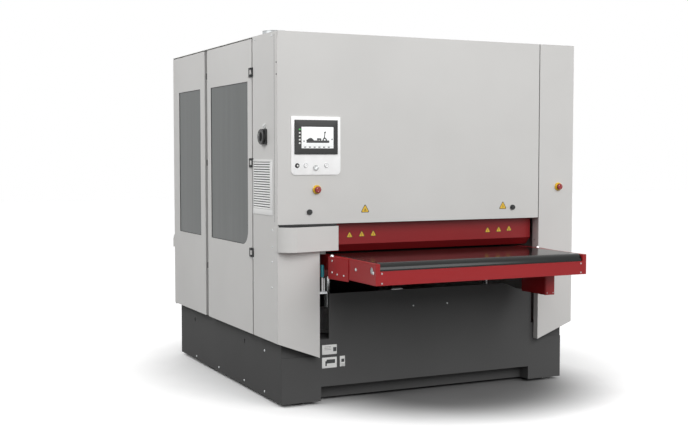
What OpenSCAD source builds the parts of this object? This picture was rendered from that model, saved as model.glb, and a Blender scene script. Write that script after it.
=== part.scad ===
// Wide-belt sander for wood: two sanding units over a height-adjustable conveyor table.
// Millimetres, +Z up. X runs across the machine, the work is fed along +Y.
// Places along Y are worked out from the plane of the front cover, then the whole
// machine is moved so that its origin lies under the middle, on the floor.

/* [Housing] */
// Width over the side panels
housing_w = 2152; // [2100:1:2300]
// Depth from the front cover to the rear panel
housing_d = 2092; // [2050:1:2300]
// Height of the roof above the floor
housing_h = 2265; // [2255:1:2400]
// Height of the lower edge of the side panels
skirt_z = 403; // [390:1:410]
// Height of the lower edge of the front cover
cover_z = 1118; // [1112:1:1124]
// Width of the two front columns
column_w = 274; // [260:1:285]
// How far the inner end of a column hangs below its outer end
column_drop = 102; // [60:1:120]
// Depth of the column's inner return
column_return = 69; // [50:1:70]
// Thickness of the panel sheet
sheet_t = 3; // [2:0.5:4]
// Depth of the returned edges of doors and covers
lip_d = 25; // [15:1:30]
// Gap between neighbouring panels
seam = 6; // [4:0.5:8]

/* [Base] */
// Setback of the base behind the side panels
base_in = 45; // [36:1:56]
// Setback of the base sheet behind the front cover
base_y = 56; // [50:1:60]
// Setback of the base behind the rear panel
base_rear_in = 12; // [8:1:30]
// Height of the levelling feet
foot_h = 20; // [12:1:40]
// Radius of a levelling foot
foot_r = 45; // [30:1:60]
// Wall of the base beams
base_wall = 8; // [5:0.5:12]
// Width of a runner beside the fork recess
runner_w = 263; // [250:1:330]
// Height of the fork recess above the floor
fork_h = 108; // [90:1:140]
// Setback of the closing sheet in the fork recess behind the base sheet
fork_sheet_in = 88; // [60:1:160]
// Height of the front apron between the columns
apron_z = 682; // [640:1:685]
// Distance of the apron's left end from the left column
apron_left = 86.5; // [60:0.5:110]
// Distance of the apron's right end from the right column
apron_right = 14.5; // [13:0.5:30]
// Depth of the dip at the apron's right end
apron_dip = 48; // [10:1:80]

/* [Frame] */
// Width of the posts and beams
post_w = 90; // [70:1:100]
// Width of the middle post between the doors
mid_post_w = 51; // [40:1:54]
// Distance of the middle post's axis behind the front cover
mid_post_y = 1317.5; // [1317:0.5:1318]
// Thickness of the wall that carries the sanding units
wall_t = 30; // [20:1:40]
// Distance of that wall from the right side panel
wall_in = 216; // [206:1:226]
// Height of the lintel above the work gap
lintel_h = 80; // [60:1:100]

/* [Doors] */
// Seam that ends the fixed front side panel
door_y0 = 405; // [400:1:406]
// Front edge of the front door
front_door_y0 = 420; // [418:1:424]
// Rear edge of the front door
front_door_y1 = 1290; // [1280:1:1291]
// Front edge of the rear door
rear_door_y0 = 1345; // [1344:1:1360]
// Window of the front door along the door
front_window_y = [497, 1214];
// Lower edge of the front door's window
front_window_z0 = 963; // [940:1:980]
// Distance of the front door's window below the roof
front_window_top = 270; // [240:1:300]
// Distance of the rear door's window behind the door's front edge
rear_window_in = 100; // [80:1:130]
// Distance of the rear door's window before the rear panel
rear_window_back = 144; // [120:1:180]
// Lower edge of the rear door's window
rear_window_z0 = 962; // [940:1:980]
// Distance of the rear door's window below the roof
rear_window_top = 267; // [240:1:300]
// Corner radius at the lower front end of the front window
window_r = 97; // [40:1:120]
// Thickness of the panes
pane_t = 5; // [3:0.5:8]
// Height of one door hinge
hinge_h = 56; // [40:1:70]
// Length of one hinge leaf on the door
hinge_leaf = 53; // [40:1:60]
// Radius of a hinge pin
hinge_pin_r = 4; // [3:0.5:5]

/* [Table] */
// Height of the belt's upper side above the floor, table fully raised
table_z = 926; // [924:1:930]
// Reach of the table before the front cover
table_reach = 600; // [560:1:640]
// Reach of the table behind the rear panel
table_tail = 350; // [300:1:400]
// Way that the table can be lowered
table_travel = 145; // [60:1:145]
// Room between the conveyor belt and a column
belt_side_gap = 102; // [101:1:110]
// Thickness of the conveyor belt
feed_belt_t = 4; // [3:0.5:5]
// Radius of the belt's rollers
feed_roller_r = 41; // [36:0.5:42]
// Distance of the nose roller's axis behind the table's front
nose_in = 52; // [50:1:60]
// Width of a front side plate
side_plate_w = 28; // [20:1:32]
// Width of a long beam
long_beam_w = 43; // [38:1:46]
// Depth of the front side plates
side_plate_h = 123; // [110:1:130]
// Length of the front side plates
side_plate_l = 345; // [300:1:360]
// Height of the front beam
front_beam_h = 81; // [60:1:82]
// Depth of the cross members under the belt
cross_h = 76; // [60:1:80]
// Radius of the lift spindles
spindle_r = 20; // [15:1:24]
// Distance of a spindle inside the conveyor belt's edge
spindle_in = 100; // [80:1:140]
// Distance of the front spindles behind the front cover
spindle_front = 330; // [300:1:360]
// Distance of the rear spindles before the rear panel
spindle_rear_in = 262; // [220:1:300]
// Radius of the spindle housings
jack_r = 50; // [40:1:55]

/* [Sanding units] */
// Height of the pass at the raised table
pass_gap = 10; // [9:0.5:12]
// Distances of the units' axes behind the front cover
unit_ys = [650, 1560];
// Radii of the two contact rollers
contact_rs = [125, 90];
// Radius of the tension rollers
tension_r = 60; // [50:1:62]
// Length of the sanding belts
grit_l = 2620; // [2600:1:2640]
// How much narrower the sanding belts are than the conveyor belt
grit_less = 50; // [30:1:100]
// Thickness of the sanding belts
grit_t = 1.5; // [1:0.1:2]
// How much narrower the rollers are than the conveyor belt
roller_less = 20; // [0:1:28]
// Thickness of the bearing plates
plate_t = 30; // [20:1:32]
// Radius of the contact rollers' shafts
shaft_r = 30; // [20:1:32]
// Radius of the tension rollers' shafts
tension_shaft_r = 20; // [15:1:22]
// Way of the tension roller when the belt is released
tension_travel = 25; // [10:1:40]
// Distances of the pressure rollers behind the front cover
press_ys = [300, 1105, 1900];
// Radius of the pressure rollers
press_r = 45; // [40:1:50]
// Radius of the pressure rollers' shafts
press_shaft_r = 15; // [10:1:18]

/* [Drives] */
// Radius of the main motors
motor_r = 125; // [100:1:130]
// Length of the main motors
motor_l = 400; // [350:1:420]
// Places of the motors, depth behind the cover and height
motor_places = [[930, 1450], [1240, 1700]];
// Radii of the motor pulleys
motor_pulley_rs = [80, 100];
// Radii of the driven pulleys
driven_pulley_rs = [80, 75];
// Width of the pulleys
pulley_w = 44; // [30:1:50]
// Thickness of the V-belts
vbelt_t = 11; // [8:1:14]

/* [Extraction] */
// Radius of the roof spigots
spigot_r = 80; // [70:1:81]
// Height of the spigots above the roof
spigot_h = 72; // [50:1:120]
// Wall of the ducts
duct_t = 2; // [1.5:0.5:3]

/* [Operator panel] */
// Width of the white plate
hmi_w = 323; // [300:1:330]
// Height of the white plate
hmi_h = 349; // [340:1:360]
// Left edge of the plate from the left side of the housing
hmi_in = 87; // [80:1:100]
// Lower edge of the plate above the cover's lower edge
hmi_up = 296; // [280:1:320]
// Thickness of the plate
hmi_t = 6; // [4:0.5:8]
// Size of the black display frame
bezel_w = 283; // [270:1:290]
// Height of the black display frame
bezel_h = 206; // [200:1:210]
// Radius of a push button
button_r = 11; // [9:0.5:13]
// Travel of a push button
button_travel = 4; // [2:0.5:4.5]
// Radius of an emergency stop head
estop_r = 20; // [16:0.5:22]
// Travel of an emergency stop head
estop_travel = 5; // [3:0.5:6]
// Radius of a cover lock
lock_r = 16.5; // [14:0.5:18]

/* [Guards] */
// Height of the corner cover's lower edge
guard_z = 955; // [950:1:970]
// Height of the corner cover
guard_h = 149; // [140:1:150]
// Outer radius of the corner cover's bend
guard_r = 100; // [90:1:110]
// Slant of the corner cover's flat face, degrees
guard_slant = 9.1; // [8:0.1:10]
// Room between the red safety bar and a column
bar_side_gap = 17; // [14:1:32]
// Setback of the safety bar behind the front cover
bar_y = 75; // [72:1:80]
// Height where the bar's lower edge starts to slant
bar_bevel_z = 982; // [975:1:990]
// Thickness of the bar's sheet
bar_t = 4; // [3:0.5:5]

/* [Clearances] */
// Gap between parts that move past or wrap each other
skin_gap = 0.3; // [0.3:0.1:0.4]
// Radial play of a running shaft
running_gap = 0.05; // [0.01:0.01:0.1]

/* [Hidden] */
$fn = 48;

// Cuts run past the faces they open by this much
over = 1;
hw = housing_w / 2;
bw = hw - base_in;
fork_w = 2 * (bw - runner_w);
mid_y = (housing_d + table_tail - table_reach) / 2;
gap_x = hw - column_w;
cover_x1 = gap_x - seam;
wall_x = hw - wall_in;
bar_x = gap_x - bar_side_gap;
feed_belt_w = 2 * (gap_x - belt_side_gap);
grit_w = feed_belt_w - grit_less;
roller_w = feed_belt_w - roller_less;
beam_inner_x = feed_belt_w / 2 + seam / 3;
table_w = 2 * (beam_inner_x + side_plate_w);
table_beam_w = 2 * (beam_inner_x + long_beam_w);
spindle_x = feed_belt_w / 2 - spindle_in;
spindle_ys = [spindle_front, housing_d - spindle_rear_in];
front_window_z = [front_window_z0, housing_h - front_window_top];
rear_window_y = [rear_door_y0 + rear_window_in, housing_d - rear_window_back];
rear_window_z = [rear_window_z0, housing_h - rear_window_top];
hinge_low_z = front_window_z[0] - 0.73 * hinge_h;
hinge_high_z = front_window_z[1] + 0.95 * hinge_h;
hinge_zs = [hinge_low_z, (hinge_low_z + hinge_high_z) / 2, hinge_high_z];
roof_z = housing_h - sheet_t;
base_y1 = housing_d - base_rear_in;
sheet_y = base_y + seam;
frame_y0 = column_return + sheet_t;
frame_y1 = base_y1;
wall_z = roof_z - post_w;
lintel_z = cover_z + lip_d + 2 * pane_t + 2 * seam;

// Table: everything below is given at the raised table
table_y0 = -table_reach;
table_y1 = housing_d + table_tail;
belt_r = feed_roller_r + skin_gap + feed_belt_t;
feed_axis_z = table_z - belt_r;
nose_y = table_y0 + nose_in;
drive_y = table_y1 - nose_in;
beam_z0 = table_z - 2 * belt_r;
beam_z1 = table_z - sheet_t - running_gap;
side_z0 = beam_z1 - side_plate_h;
front_beam_z0 = side_z0;
cross_z0 = beam_z0 - cross_h;
flare_y = table_y0 + side_plate_l;
feed_shaft_r = feed_roller_r / 2;
feed_roller_l = feed_belt_w - 2 * seam;
bed_t = feed_roller_r / 5;

// Sanding units
nip_z = table_z + pass_gap;
function contact_z(i) = nip_z + grit_t + skin_gap + contact_rs[i];
function wheel_c0(i) = (grit_l - PI * (contact_rs[i] + tension_r)) / 2;
function wheel_c(i) = wheel_c0(i) - pow(contact_rs[i] - tension_r, 2) / wheel_c0(i) / 2;
function tension_z(i) = contact_z(i) + wheel_c(i);
press_z = nip_z - skin_gap + press_r;
beam_half = tension_r * 1.12;
beam_high_share = 0.62;
yoke_share = 0.84;
yoke_h = 2 * spindle_r + contact_rs[0] / 5;
yoke_d = tension_r - grit_t * 2;
guide_r = tension_shaft_r;
plate_x = (roller_w + 2 * lip_d) / 2;
pulley_x = wall_x + wall_t + pulley_w / 2;
drive_end_x = pulley_x + pulley_w + seam;

// The whole machine moves so that the origin lies under its middle
module placed() translate([0, -mid_y, 0]) children();

// A block between two corners
module block(x0, x1, y0, y1, z0, z1)
    translate([x0, y0, z0]) cube([x1 - x0, y1 - y0, z1 - z0]);

// A closed hollow beam
module hollow(x0, x1, y0, y1, z0, z1, t)
    difference() {
        block(x0, x1, y0, y1, z0, z1);
        block(x0 + t, x1 - t, y0 + t, y1 - t, z0 + t, z1 - t);
    }

// Both sides of the machine
module both() {
    children();
    mirror([1, 0, 0]) children();
}

// A round bar along X between two ends
module bar(x0, x1, y, z, r)
    translate([x0, y, z]) rotate([0, 90, 0]) cylinder(h = x1 - x0, r = r);

// An outline drawn in depth and height, pushed along X
module across(x0, x1)
    translate([x0, 0, 0]) rotate([90, 0, 90]) linear_extrude(height = x1 - x0) children();

// A pan of sheet standing in the front plane: face, and lips returned to the rear
module pan_front(x0, x1, z0, z1, d, t)
    difference() {
        block(x0, x1, 0, d, z0, z1);
        block(x0 + t, x1 - t, t, d + over, z0 + t, z1 - t);
    }

// A pan of sheet standing in the left side plane
module pan_side(y0, y1, z0, z1, d, t)
    difference() {
        block(-hw, -hw + d, y0, y1, z0, z1);
        block(-hw + t, -hw + d + over, y0 + t, y1 - t, z0 + t, z1 - t);
    }

// Filled outline of a belt round two wheels, the first at the origin, the second above it.
// The straight runs stand a hair outside the true tangents, so that they meet the arcs cleanly.
module loop_fill(r1, r2, c, tilt) {
    a = asin((r1 - r2) / c);
    e1 = r1 + tangent_step;
    e2 = r2 + tangent_step;
    rotate([0, 0, -tilt]) {
        circle(r = r1, $fn = 96);
        translate([0, c]) circle(r = r2, $fn = 96);
        polygon([[e1 * cos(a), e1 * sin(a)], [e2 * cos(a), c + e2 * sin(a)],
            [-e2 * cos(a), c + e2 * sin(a)], [-e1 * cos(a), e1 * sin(a)]]);
    }
}
tangent_step = 0.02;

// A belt of thickness t round two wheels
module loop(r1, r2, c, t, tilt = 0)
    difference() {
        loop_fill(r1 + skin_gap + t, r2 + skin_gap + t, c, tilt);
        loop_fill(r1 + skin_gap, r2 + skin_gap, c, tilt);
    }

// Base: two long beams, a deck between them, wells for the spindle housings,
// and the sheet that closes the fork recess towards the front
module base_frame() color("#2e2e2e") placed()
    difference() {
        union() {
            both() hollow(fork_w / 2, bw, sheet_y, base_y1, foot_h, skirt_z, base_wall);
            hollow(-fork_w / 2, fork_w / 2, sheet_y, base_y1, fork_h, skirt_z, base_wall);
            block(-fork_w / 2 - over, fork_w / 2 + over, sheet_y + fork_sheet_in,
                sheet_y + fork_sheet_in + base_wall, foot_h, fork_h + over);
            for (x = [-1, 1], y = spindle_ys) translate([x * spindle_x, y, fork_h])
                cylinder(h = skirt_z - fork_h, r = jack_r + base_wall + skin_gap);
        }
        for (x = [-1, 1], y = spindle_ys)
            translate([x * spindle_x, y, fork_h + base_wall])
                cylinder(h = skirt_z, r = jack_r + skin_gap);
        for (x = [-1, 1], y = hook_ys) translate([x * (bw + over), y, hook_z])
            rotate([0, -90 * x, 0]) cylinder(h = base_wall / 2 + over, r = hook_r);
    }
hook_ys = [sheet_y + 0.31 * (base_y1 - sheet_y), sheet_y + 0.83 * (base_y1 - sheet_y)];
hook_z = 0.78 * skirt_z;
hook_r = foot_r / 3;

foot_ys = [sheet_y + 2 * foot_r, mid_post_y - 3 * foot_r, base_y1 - 2 * foot_r];
foot_x = (fork_w / 2 + bw) / 2;
module levelling_feet() color("#3a3a3c") placed()
    both() for (y = foot_ys) translate([foot_x, y, 0]) {
        cylinder(h = foot_h / 2, r = foot_r);
        cylinder(h = foot_h, r = foot_r / 2);
    }

// Front sheet of the base with its fork recess and the dipped apron between the columns,
// and the straight apron under the outfeed
apron_x0 = apron_left - gap_x;
apron_x1 = gap_x - apron_right;
apron_w = apron_x1 - apron_x0;
apron_shares = [[0.85, 0], [0.885, 0.33], [0.916, 0.81], [0.957, 0.98], [1, 1]];
module base_apron() color("#464646") placed() {
    block(-gap_x, gap_x, base_y1 - seam, base_y1, skirt_z, apron_z);
    translate([0, sheet_y, 0]) rotate([90, 0, 0]) linear_extrude(height = seam)
        difference() {
            polygon(concat([[-bw, foot_h], [bw, foot_h], [bw, skirt_z - column_drop], [gap_x, skirt_z - column_drop],
                [gap_x, skirt_z], [apron_x1, skirt_z]],
                [for (i = [4:-1:0]) [apron_x0 + apron_w * apron_shares[i][0],
                    apron_z - apron_dip * apron_shares[i][1]]],
                [[apron_x0, apron_z], [apron_x0, skirt_z], [-gap_x, skirt_z],
                [-gap_x, skirt_z - column_drop], [-bw, skirt_z - column_drop]]));
            translate([-fork_w / 2, foot_h - over]) square([fork_w, fork_h - foot_h + over]);
        }
}

// Posts, roof beams, lintel and the wall that carries the sanding units
module upper_frame() color("#6d6e70") placed() {
    both() for (y = [frame_y0, frame_y1 - post_w])
        block(bw - post_w, bw, y, y + post_w, skirt_z, wall_z);
    for (s = [0, 1]) block(s ? bw - post_w : -bw, s ? bw : post_w - bw, frame_y0, frame_y1, wall_z, roof_z);
    for (y = [frame_y0, frame_y1 - post_w])
        block(post_w - bw, bw - post_w, y, y + post_w, wall_z, roof_z);
    block(-bw, mid_post_w - bw, mid_post_y - mid_post_w / 2, mid_post_y + mid_post_w / 2, skirt_z, wall_z);
    block(post_w - bw, bw - post_w, frame_y0, frame_y0 + post_w, lintel_z, lintel_z + lintel_h);
    difference() {
        block(wall_x, wall_x + wall_t, frame_y0 + post_w, frame_y1 - post_w, skirt_z, roof_z);
        for (i = [0, 1]) {
            bar(wall_x - over, wall_x + wall_t + over, unit_ys[i], contact_z(i), shaft_r * 4 / 3);
            bar(wall_x - over, wall_x + wall_t + over, motor_places[i][0], motor_places[i][1], shaft_r * 4 / 3);
        }
    }
}

// Covers of the two front columns and the bent cover over the left one
module column_outline(z1) polygon([[gap_x, skirt_z - column_drop], [hw, skirt_z], [hw, z1], [gap_x, z1]]);
module column_cover(z1) {
    translate([0, sheet_t, 0]) rotate([90, 0, 0]) linear_extrude(height = sheet_t) column_outline(z1);
    block(gap_x, gap_x + sheet_t, sheet_t, base_y - 1.5 * seam, skirt_z - column_drop, z1);
    block(gap_x, gap_x + sheet_t, sheet_t, column_return, apron_z + seam, z1);
    block(gap_x + sheet_t, gap_x + sheet_t + lip_d, column_return - sheet_t, column_return, apron_z + 2 * seam, z1);
}
guard_cx = -hw - skin_gap - sheet_t + guard_r;
guard_cy = guard_r * 0.27;
guard_end_x = -gap_x + column_w * 0.42;
guard_ax = guard_cx - guard_r * sin(guard_slant);
guard_ay = guard_cy - guard_r * cos(guard_slant);
function guard_y(x, r) = guard_cy - r * cos(guard_slant)
    + (x - guard_cx + r * sin(guard_slant)) * tan(guard_slant);
module guard_shape(r) {
    intersection() {
        translate([guard_cx, guard_cy]) circle(r = r, $fn = 96);
        translate([guard_cx - 2 * r, guard_cy - 2 * r]) square([2 * r, 2 * r]);
    }
    polygon([[guard_cx, guard_cy], [guard_cx - r * sin(guard_slant), guard_cy - r * cos(guard_slant)],
        [guard_end_x, guard_y(guard_end_x, r)], [guard_end_x, guard_cy]]);
    translate([guard_cx - r, guard_cy]) square([r, lip_d / 2]);
}
module corner_cover() {
    translate([0, 0, guard_z]) linear_extrude(height = guard_h) difference() {
        guard_shape(guard_r);
        guard_shape(guard_r - sheet_t);
        translate([guard_cx - guard_r + sheet_t, -skin_gap]) square([housing_w, housing_d]);
    }
    for (z = [guard_z, guard_z + guard_h - sheet_t]) translate([0, 0, z])
        linear_extrude(height = sheet_t) difference() {
            guard_shape(guard_r - sheet_t);
            translate([-housing_w, 0]) square([2 * housing_w, housing_d]);
        }
    translate([0, 0, guard_z]) linear_extrude(height = guard_h) intersection() {
        guard_shape(guard_r - sheet_t);
        translate([guard_end_x - sheet_t, -guard_r]) square([sheet_t, guard_r - skin_gap]);
    }
}
module column_covers() color("#cbc9c6") placed() {
    difference() {
        column_cover(roof_z);
        translate([gap_x - over, column_return - 3 * seam, skirt_z + 8.2 * column_return])
            rotate([0, 90, 0]) cylinder(h = sheet_t + 2 * over, r = seam);
        translate([0, over + sheet_t, 0]) rotate([90, 0, 0])
            translate([estop_column_x, estop_column_z]) cylinder(h = 2 * sheet_t, r = estop_r / 2 + seam / 2);
    }
    mirror([1, 0, 0]) column_cover(cover_z - seam);
    corner_cover();
}

// Fixed side panels: the front left one with its vent opening, and the whole right side
vent_y0 = door_y0 * 0.17;
vent_y1 = door_y0 * 0.985;
vent_z0 = cover_z + 2 * gap_x * 0.0318;
vent_z1 = vent_z0 + 1.018 * (vent_y1 - vent_y0);
vent_edge = lip_d - sheet_t;
vent_win_y = [vent_y0 + 2 * vent_edge, vent_y1 - 1.5 * sheet_t];
vent_win_z = [vent_z0 + 1.6 * vent_edge, vent_z1 - 0.6 * vent_edge];
module side_panels() color("#b9b8b6") placed() {
    difference() {
        union() {
            block(-hw, -hw + sheet_t, sheet_t + skin_gap, door_y0, skirt_z, roof_z);
            block(-hw + sheet_t, -bw, door_y0 - sheet_t, door_y0, skirt_z, roof_z);
        }
        block(-hw - over, -hw + sheet_t + over, vent_win_y[0], vent_win_y[1], vent_win_z[0], vent_win_z[1]);
        bar(-hw - over, -hw + sheet_t + over, switch_y, switch_z, switch_r / 2);
    }
    block(hw - sheet_t, hw, sheet_t, housing_d - sheet_t, skirt_z, roof_z);
    block(bw, hw - sheet_t, door_y0 - sheet_t, door_y0, skirt_z, roof_z);
    block(bw, hw - sheet_t, housing_d - post_w, housing_d - post_w + sheet_t, skirt_z, roof_z);
}

// Roof with two spigot holes, and rear panel with the outfeed opening
pivot_x = -hw + 2 * seam;
pivot_y = housing_d - 2 * seam;
rear_x0 = pivot_x + 2.7 * seam;
module roof_rear_panels() color("#c2c1be") placed() {
    translate([0, 0, roof_z]) linear_extrude(height = sheet_t) difference() {
        polygon([[-hw, hinge_line_y + 2.7 * seam], [gap_x - seam / 2, hinge_line_y + 2.7 * seam],
            [gap_x - seam / 2, 0], [hw, 0], [hw, housing_d], [-hw, housing_d]]);
        for (p = spigot_places) translate(p) circle(r = spigot_r + skin_gap);
    }
    translate([0, housing_d, 0]) rotate([90, 0, 0]) linear_extrude(height = sheet_t) difference() {
        translate([rear_x0, skirt_z]) square([hw - rear_x0, housing_h - skirt_z]);
        translate([-gap_x, skirt_z - over]) square([2 * gap_x, cover_z - skirt_z + over]);
    }
}

// Hinge rod of the front cover, hinge pins of the front door, pivots of the rear door, bar hangers
hinge_line_y = 2 * seam;
hinge_line_z = housing_h - 2.5 * seam;
cover_rod_r = seam * 5 / 6;
knuckle_l = 2 * lip_d;
cover_xs = [for (s = [0.06, 0.5, 0.94]) -hw + s * (cover_x1 + hw)];
door_axis_x = -hw - 2 * hinge_pin_r - 2 * running_gap;
door_axis_y = front_door_y0 - hinge_pin_r;
bar_axis_y = bar_y + 3.5 * seam;
bar_axis_z = cover_z + 3 * seam;
bar_pin_r = seam * 4 / 3;
hanger_x = bar_x - lip_d;
hinge_plate_y = door_axis_y - 4.8 * hinge_pin_r;
module hinge_fittings() color("#1f1f21") placed() {
    bar(-hw + lip_d, cover_x1 - lip_d, hinge_line_y, hinge_line_z, cover_rod_r);
    for (x = cover_xs) block(x - 2 * knuckle_l, x - knuckle_l, hinge_line_y, frame_y0,
        hinge_line_z - cover_rod_r / 2, hinge_line_z + cover_rod_r / 2);
    for (z = hinge_zs) {
        translate([door_axis_x, door_axis_y, z - hinge_h / 2]) cylinder(h = hinge_h, r = hinge_pin_r);
        difference() {
            block(door_axis_x, -hw, hinge_plate_y, door_axis_y + hinge_pin_r,
                z - hinge_h / 2, z + hinge_h / 2);
            translate([door_axis_x, door_axis_y, z - hinge_h / 4 - skin_gap])
                cylinder(h = hinge_h / 2 + 2 * skin_gap, r = 3 * hinge_pin_r);
        }
    }
    for (s = [0, 1]) translate([0, 0, s ? roof_z - seam : skirt_z - seam]) difference() {
        block(pivot_x - 1.5 * seam, -bw, pivot_y - 2 * seam, pivot_y + 1.5 * seam, 0, s ? seam : seam - running_gap);
        translate([pivot_x, pivot_y, -over]) cylinder(h = seam + 2 * over, r = hinge_pin_r + running_gap);
    }
    both() {
        block(hanger_x - seam, hanger_x + seam, bar_axis_y - 2 * seam, bar_axis_y + 2 * seam, bar_axis_z - 2 * seam, lintel_z);
        bar(hanger_x - 4 * seam, hanger_x - seam, bar_axis_y, bar_axis_z, bar_pin_r);
    }
}

// Louvred grille: a bordered frame standing a little proud, with rows of slots
vent_rows = 19;
vent_proud = 4 / 3 * sheet_t;
module vent_grille() color("#b4b3b1") placed() {
    pitch = (vent_win_z[1] - vent_win_z[0]) / vent_rows;
    difference() {
        block(-hw - vent_proud, -hw, vent_y0, vent_y1, vent_z0, vent_z1);
        for (i = [0:vent_rows - 1])
            block(-hw - vent_proud - over, -hw + over, vent_win_y[0], vent_win_y[1],
                vent_win_z[0] + pitch * (i + 0.25), vent_win_z[0] + pitch * (i + 0.7));
        block(-hw - vent_proud - over, -hw + over, hinge_plate_y - running_gap, vent_y1 + over,
            hinge_zs[1] - hinge_h / 2 - running_gap, hinge_zs[1] + hinge_h / 2 + running_gap);
    }
}

// Main switch: body on the side panel, turning knob with a grip bar
switch_r = 26;
switch_y = door_y0 * 0.52;
switch_z = vent_z1 + 5.35 * switch_r;
switch_body_w = 4 * switch_r * 0.92;
switch_body_d = 14;
switch_knob_d = 22;
module main_switch_body() color("#202022") placed()
    difference() {
        block(-hw - switch_body_d, -hw, switch_y - switch_body_w / 2, switch_y + switch_body_w / 2,
            switch_z - switch_body_w / 2, switch_z + switch_body_w / 2);
        bar(-hw - switch_body_d - over, -hw - switch_body_d / 4, switch_y, switch_z, switch_r / 4 + running_gap);
    }
module main_switch_knob() color("#2a2a2c") placed() {
    bar(-hw - switch_body_d - switch_knob_d / 3, -hw - switch_body_d - skin_gap, switch_y, switch_z, switch_r);
    bar(-hw - switch_body_d, -hw - switch_body_d / 3, switch_y, switch_z, switch_r / 4);
    bar(-hw - switch_body_d - skin_gap - over, -hw - switch_body_d + over, switch_y, switch_z, switch_r / 4);
    block(-hw - switch_body_d - switch_knob_d, -hw - switch_body_d - switch_knob_d / 3 + over,
        switch_y - switch_r / 4, switch_y + switch_r / 4, switch_z - switch_r * 0.95, switch_z + switch_r * 0.95);
}

// Mounting plate of the electrical cabinet with its rows of devices and cable ducts
plate_y = door_y0 - lip_d;
device_d = 90;
device_rows = 4;
device_columns = 18;
module electrical_plate() color("#d8d8d4") placed() {
    z0 = lintel_z + lintel_h + seam;
    z1 = wall_z - 2 * seam;
    x0 = post_w - bw;
    device_h = (z1 - z0) / device_rows * 0.418;
    device_w = (wall_x - x0) / device_columns * 0.54;
    block(x0, wall_x, plate_y, plate_y + sheet_t, z0, z1);
    for (r = [0:device_rows - 1], i = [0:device_columns - 1 - 2 * r]) {
        x = x0 + 2 * device_w + i * 1.389 * device_w;
        z = z1 - (r + 1) * 2 * device_h;
        block(x, x + device_w, plate_y - device_d, plate_y, z, z + device_h);
    }
}

// Spindle housings standing in the wells of the base
jack_z1 = skirt_z + 0.95 * 2 * front_beam_h + 2 * running_gap;
module jack_housings() color("#77787a") placed()
    for (x = [-1, 1], y = spindle_ys) translate([x * spindle_x, y, 0]) difference() {
        union() {
            translate([0, 0, fork_h + base_wall]) cylinder(h = jack_z1 - fork_h - base_wall, r = jack_r);
            translate([0, 0, skirt_z]) cylinder(h = 2 * base_wall, r = jack_r * 1.5);
        }
        translate([0, 0, fork_h + 2 * base_wall]) cylinder(h = jack_z1, r = spindle_r + running_gap);
    }

// Beam of each sanding unit: box between the end plates, welded to the carrying wall
function beam_lo(i) = contact_z(i) + contact_rs[i] + lip_d;
function beam_hi(i) = contact_z(i) + beam_high_share * wheel_c(i);
function yoke_z(i) = contact_z(i) + yoke_share * wheel_c(i) - yoke_h / 2;
module unit_beam(i) {
    y = unit_ys[i];
    difference() {
        union() {
            hollow(-plate_x - plate_t, wall_x, y - beam_half, y + beam_half, beam_lo(i), beam_hi(i), base_wall);
            for (x = [-1, 1]) {
                x0 = x < 0 ? -plate_x - plate_t : plate_x;
                block(x0, x0 + plate_t, y - beam_half * 0.7, y + beam_half * 0.7,
                    contact_z(i) - shaft_r * 1.8, beam_lo(i));
                translate([x * plate_x * 0.7, y, beam_hi(i) - 5 * guide_r])
                    cylinder(h = 5 * guide_r, r = guide_r * 1.5);
            }
        }
        bar(-hw, hw, y, contact_z(i), shaft_r + running_gap);
        for (x = [-1, 1]) translate([x * plate_x * 0.7, y, beam_hi(i) - 5 * guide_r - over])
            cylinder(h = 6 * guide_r, r = guide_r + running_gap);
    }
}
module unit_beams() color("#8a8c8f") placed() for (i = [0, 1]) unit_beam(i);

// Beams that carry the pressure rollers, with bearing arms at both ends
press_beam_h = 2 * press_r * 0.8;
press_beam_z = press_z + 2.2 * press_r;
module pressure_beams() color("#8a8c8f") placed()
    for (y = press_ys) difference() {
        union() {
            block(-plate_x - plate_t, wall_x, y - press_r * 0.8, y + press_r * 0.8,
                press_beam_z, press_beam_z + press_beam_h);
            for (x = [-plate_x - plate_t, plate_x])
                block(x, x + plate_t, y - press_r * 0.6, y + press_r * 0.6, press_z - press_r * 0.6, press_beam_z);
        }
        bar(-hw, plate_x + plate_t + over, y, press_z, press_shaft_r + running_gap);
    }

module abrasive_belts() color("#7a4a32") placed()
    for (i = [0, 1]) translate([0, unit_ys[i], contact_z(i)])
        across(-grit_w / 2, grit_w / 2) loop(contact_rs[i], tension_r, wheel_c(i), grit_t);

// Main motors flanged to the carrying wall, with terminal boxes and cooling ribs
motor_shaft_r = 24;
motor_hood = 60;
rib_count = 10;
module main_motor(y, z) {
    difference() {
        union() {
            bar(wall_x - motor_l, wall_x, y, z, motor_r * 0.9);
            bar(wall_x - 2 * base_wall, wall_x, y, z, motor_r * 1.05);
            bar(wall_x - motor_l - motor_hood, wall_x - motor_l, y, z, motor_r * 0.97);
            for (k = [1:rib_count]) {
                x = wall_x - motor_l * (0.15 + 0.075 * k);
                bar(x, x + base_wall, y, z, motor_r);
            }
            block(wall_x - motor_l * 0.7, wall_x - motor_l * 0.35, y - motor_r / 2, y + motor_r / 2, z, z + motor_r * 1.3);
        }
        bar(wall_x - motor_l * 0.3, wall_x + over, y, z, motor_shaft_r + running_gap);
    }
}
module main_motors() color("#4f5b66") placed()
    for (p = motor_places) main_motor(p[0], p[1]);

function drive_c(i) = norm([motor_places[i][0] - unit_ys[i], motor_places[i][1] - contact_z(i)]);
function drive_tilt(i) = atan2(motor_places[i][0] - unit_ys[i], motor_places[i][1] - contact_z(i));
module v_belts() color("#26262a") placed()
    for (i = [0, 1]) translate([0, unit_ys[i], contact_z(i)])
        across(pulley_x - pulley_w * 0.4, pulley_x + pulley_w * 0.4)
            loop(driven_pulley_rs[i], motor_pulley_rs[i], drive_c(i), vbelt_t, drive_tilt(i));

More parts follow.
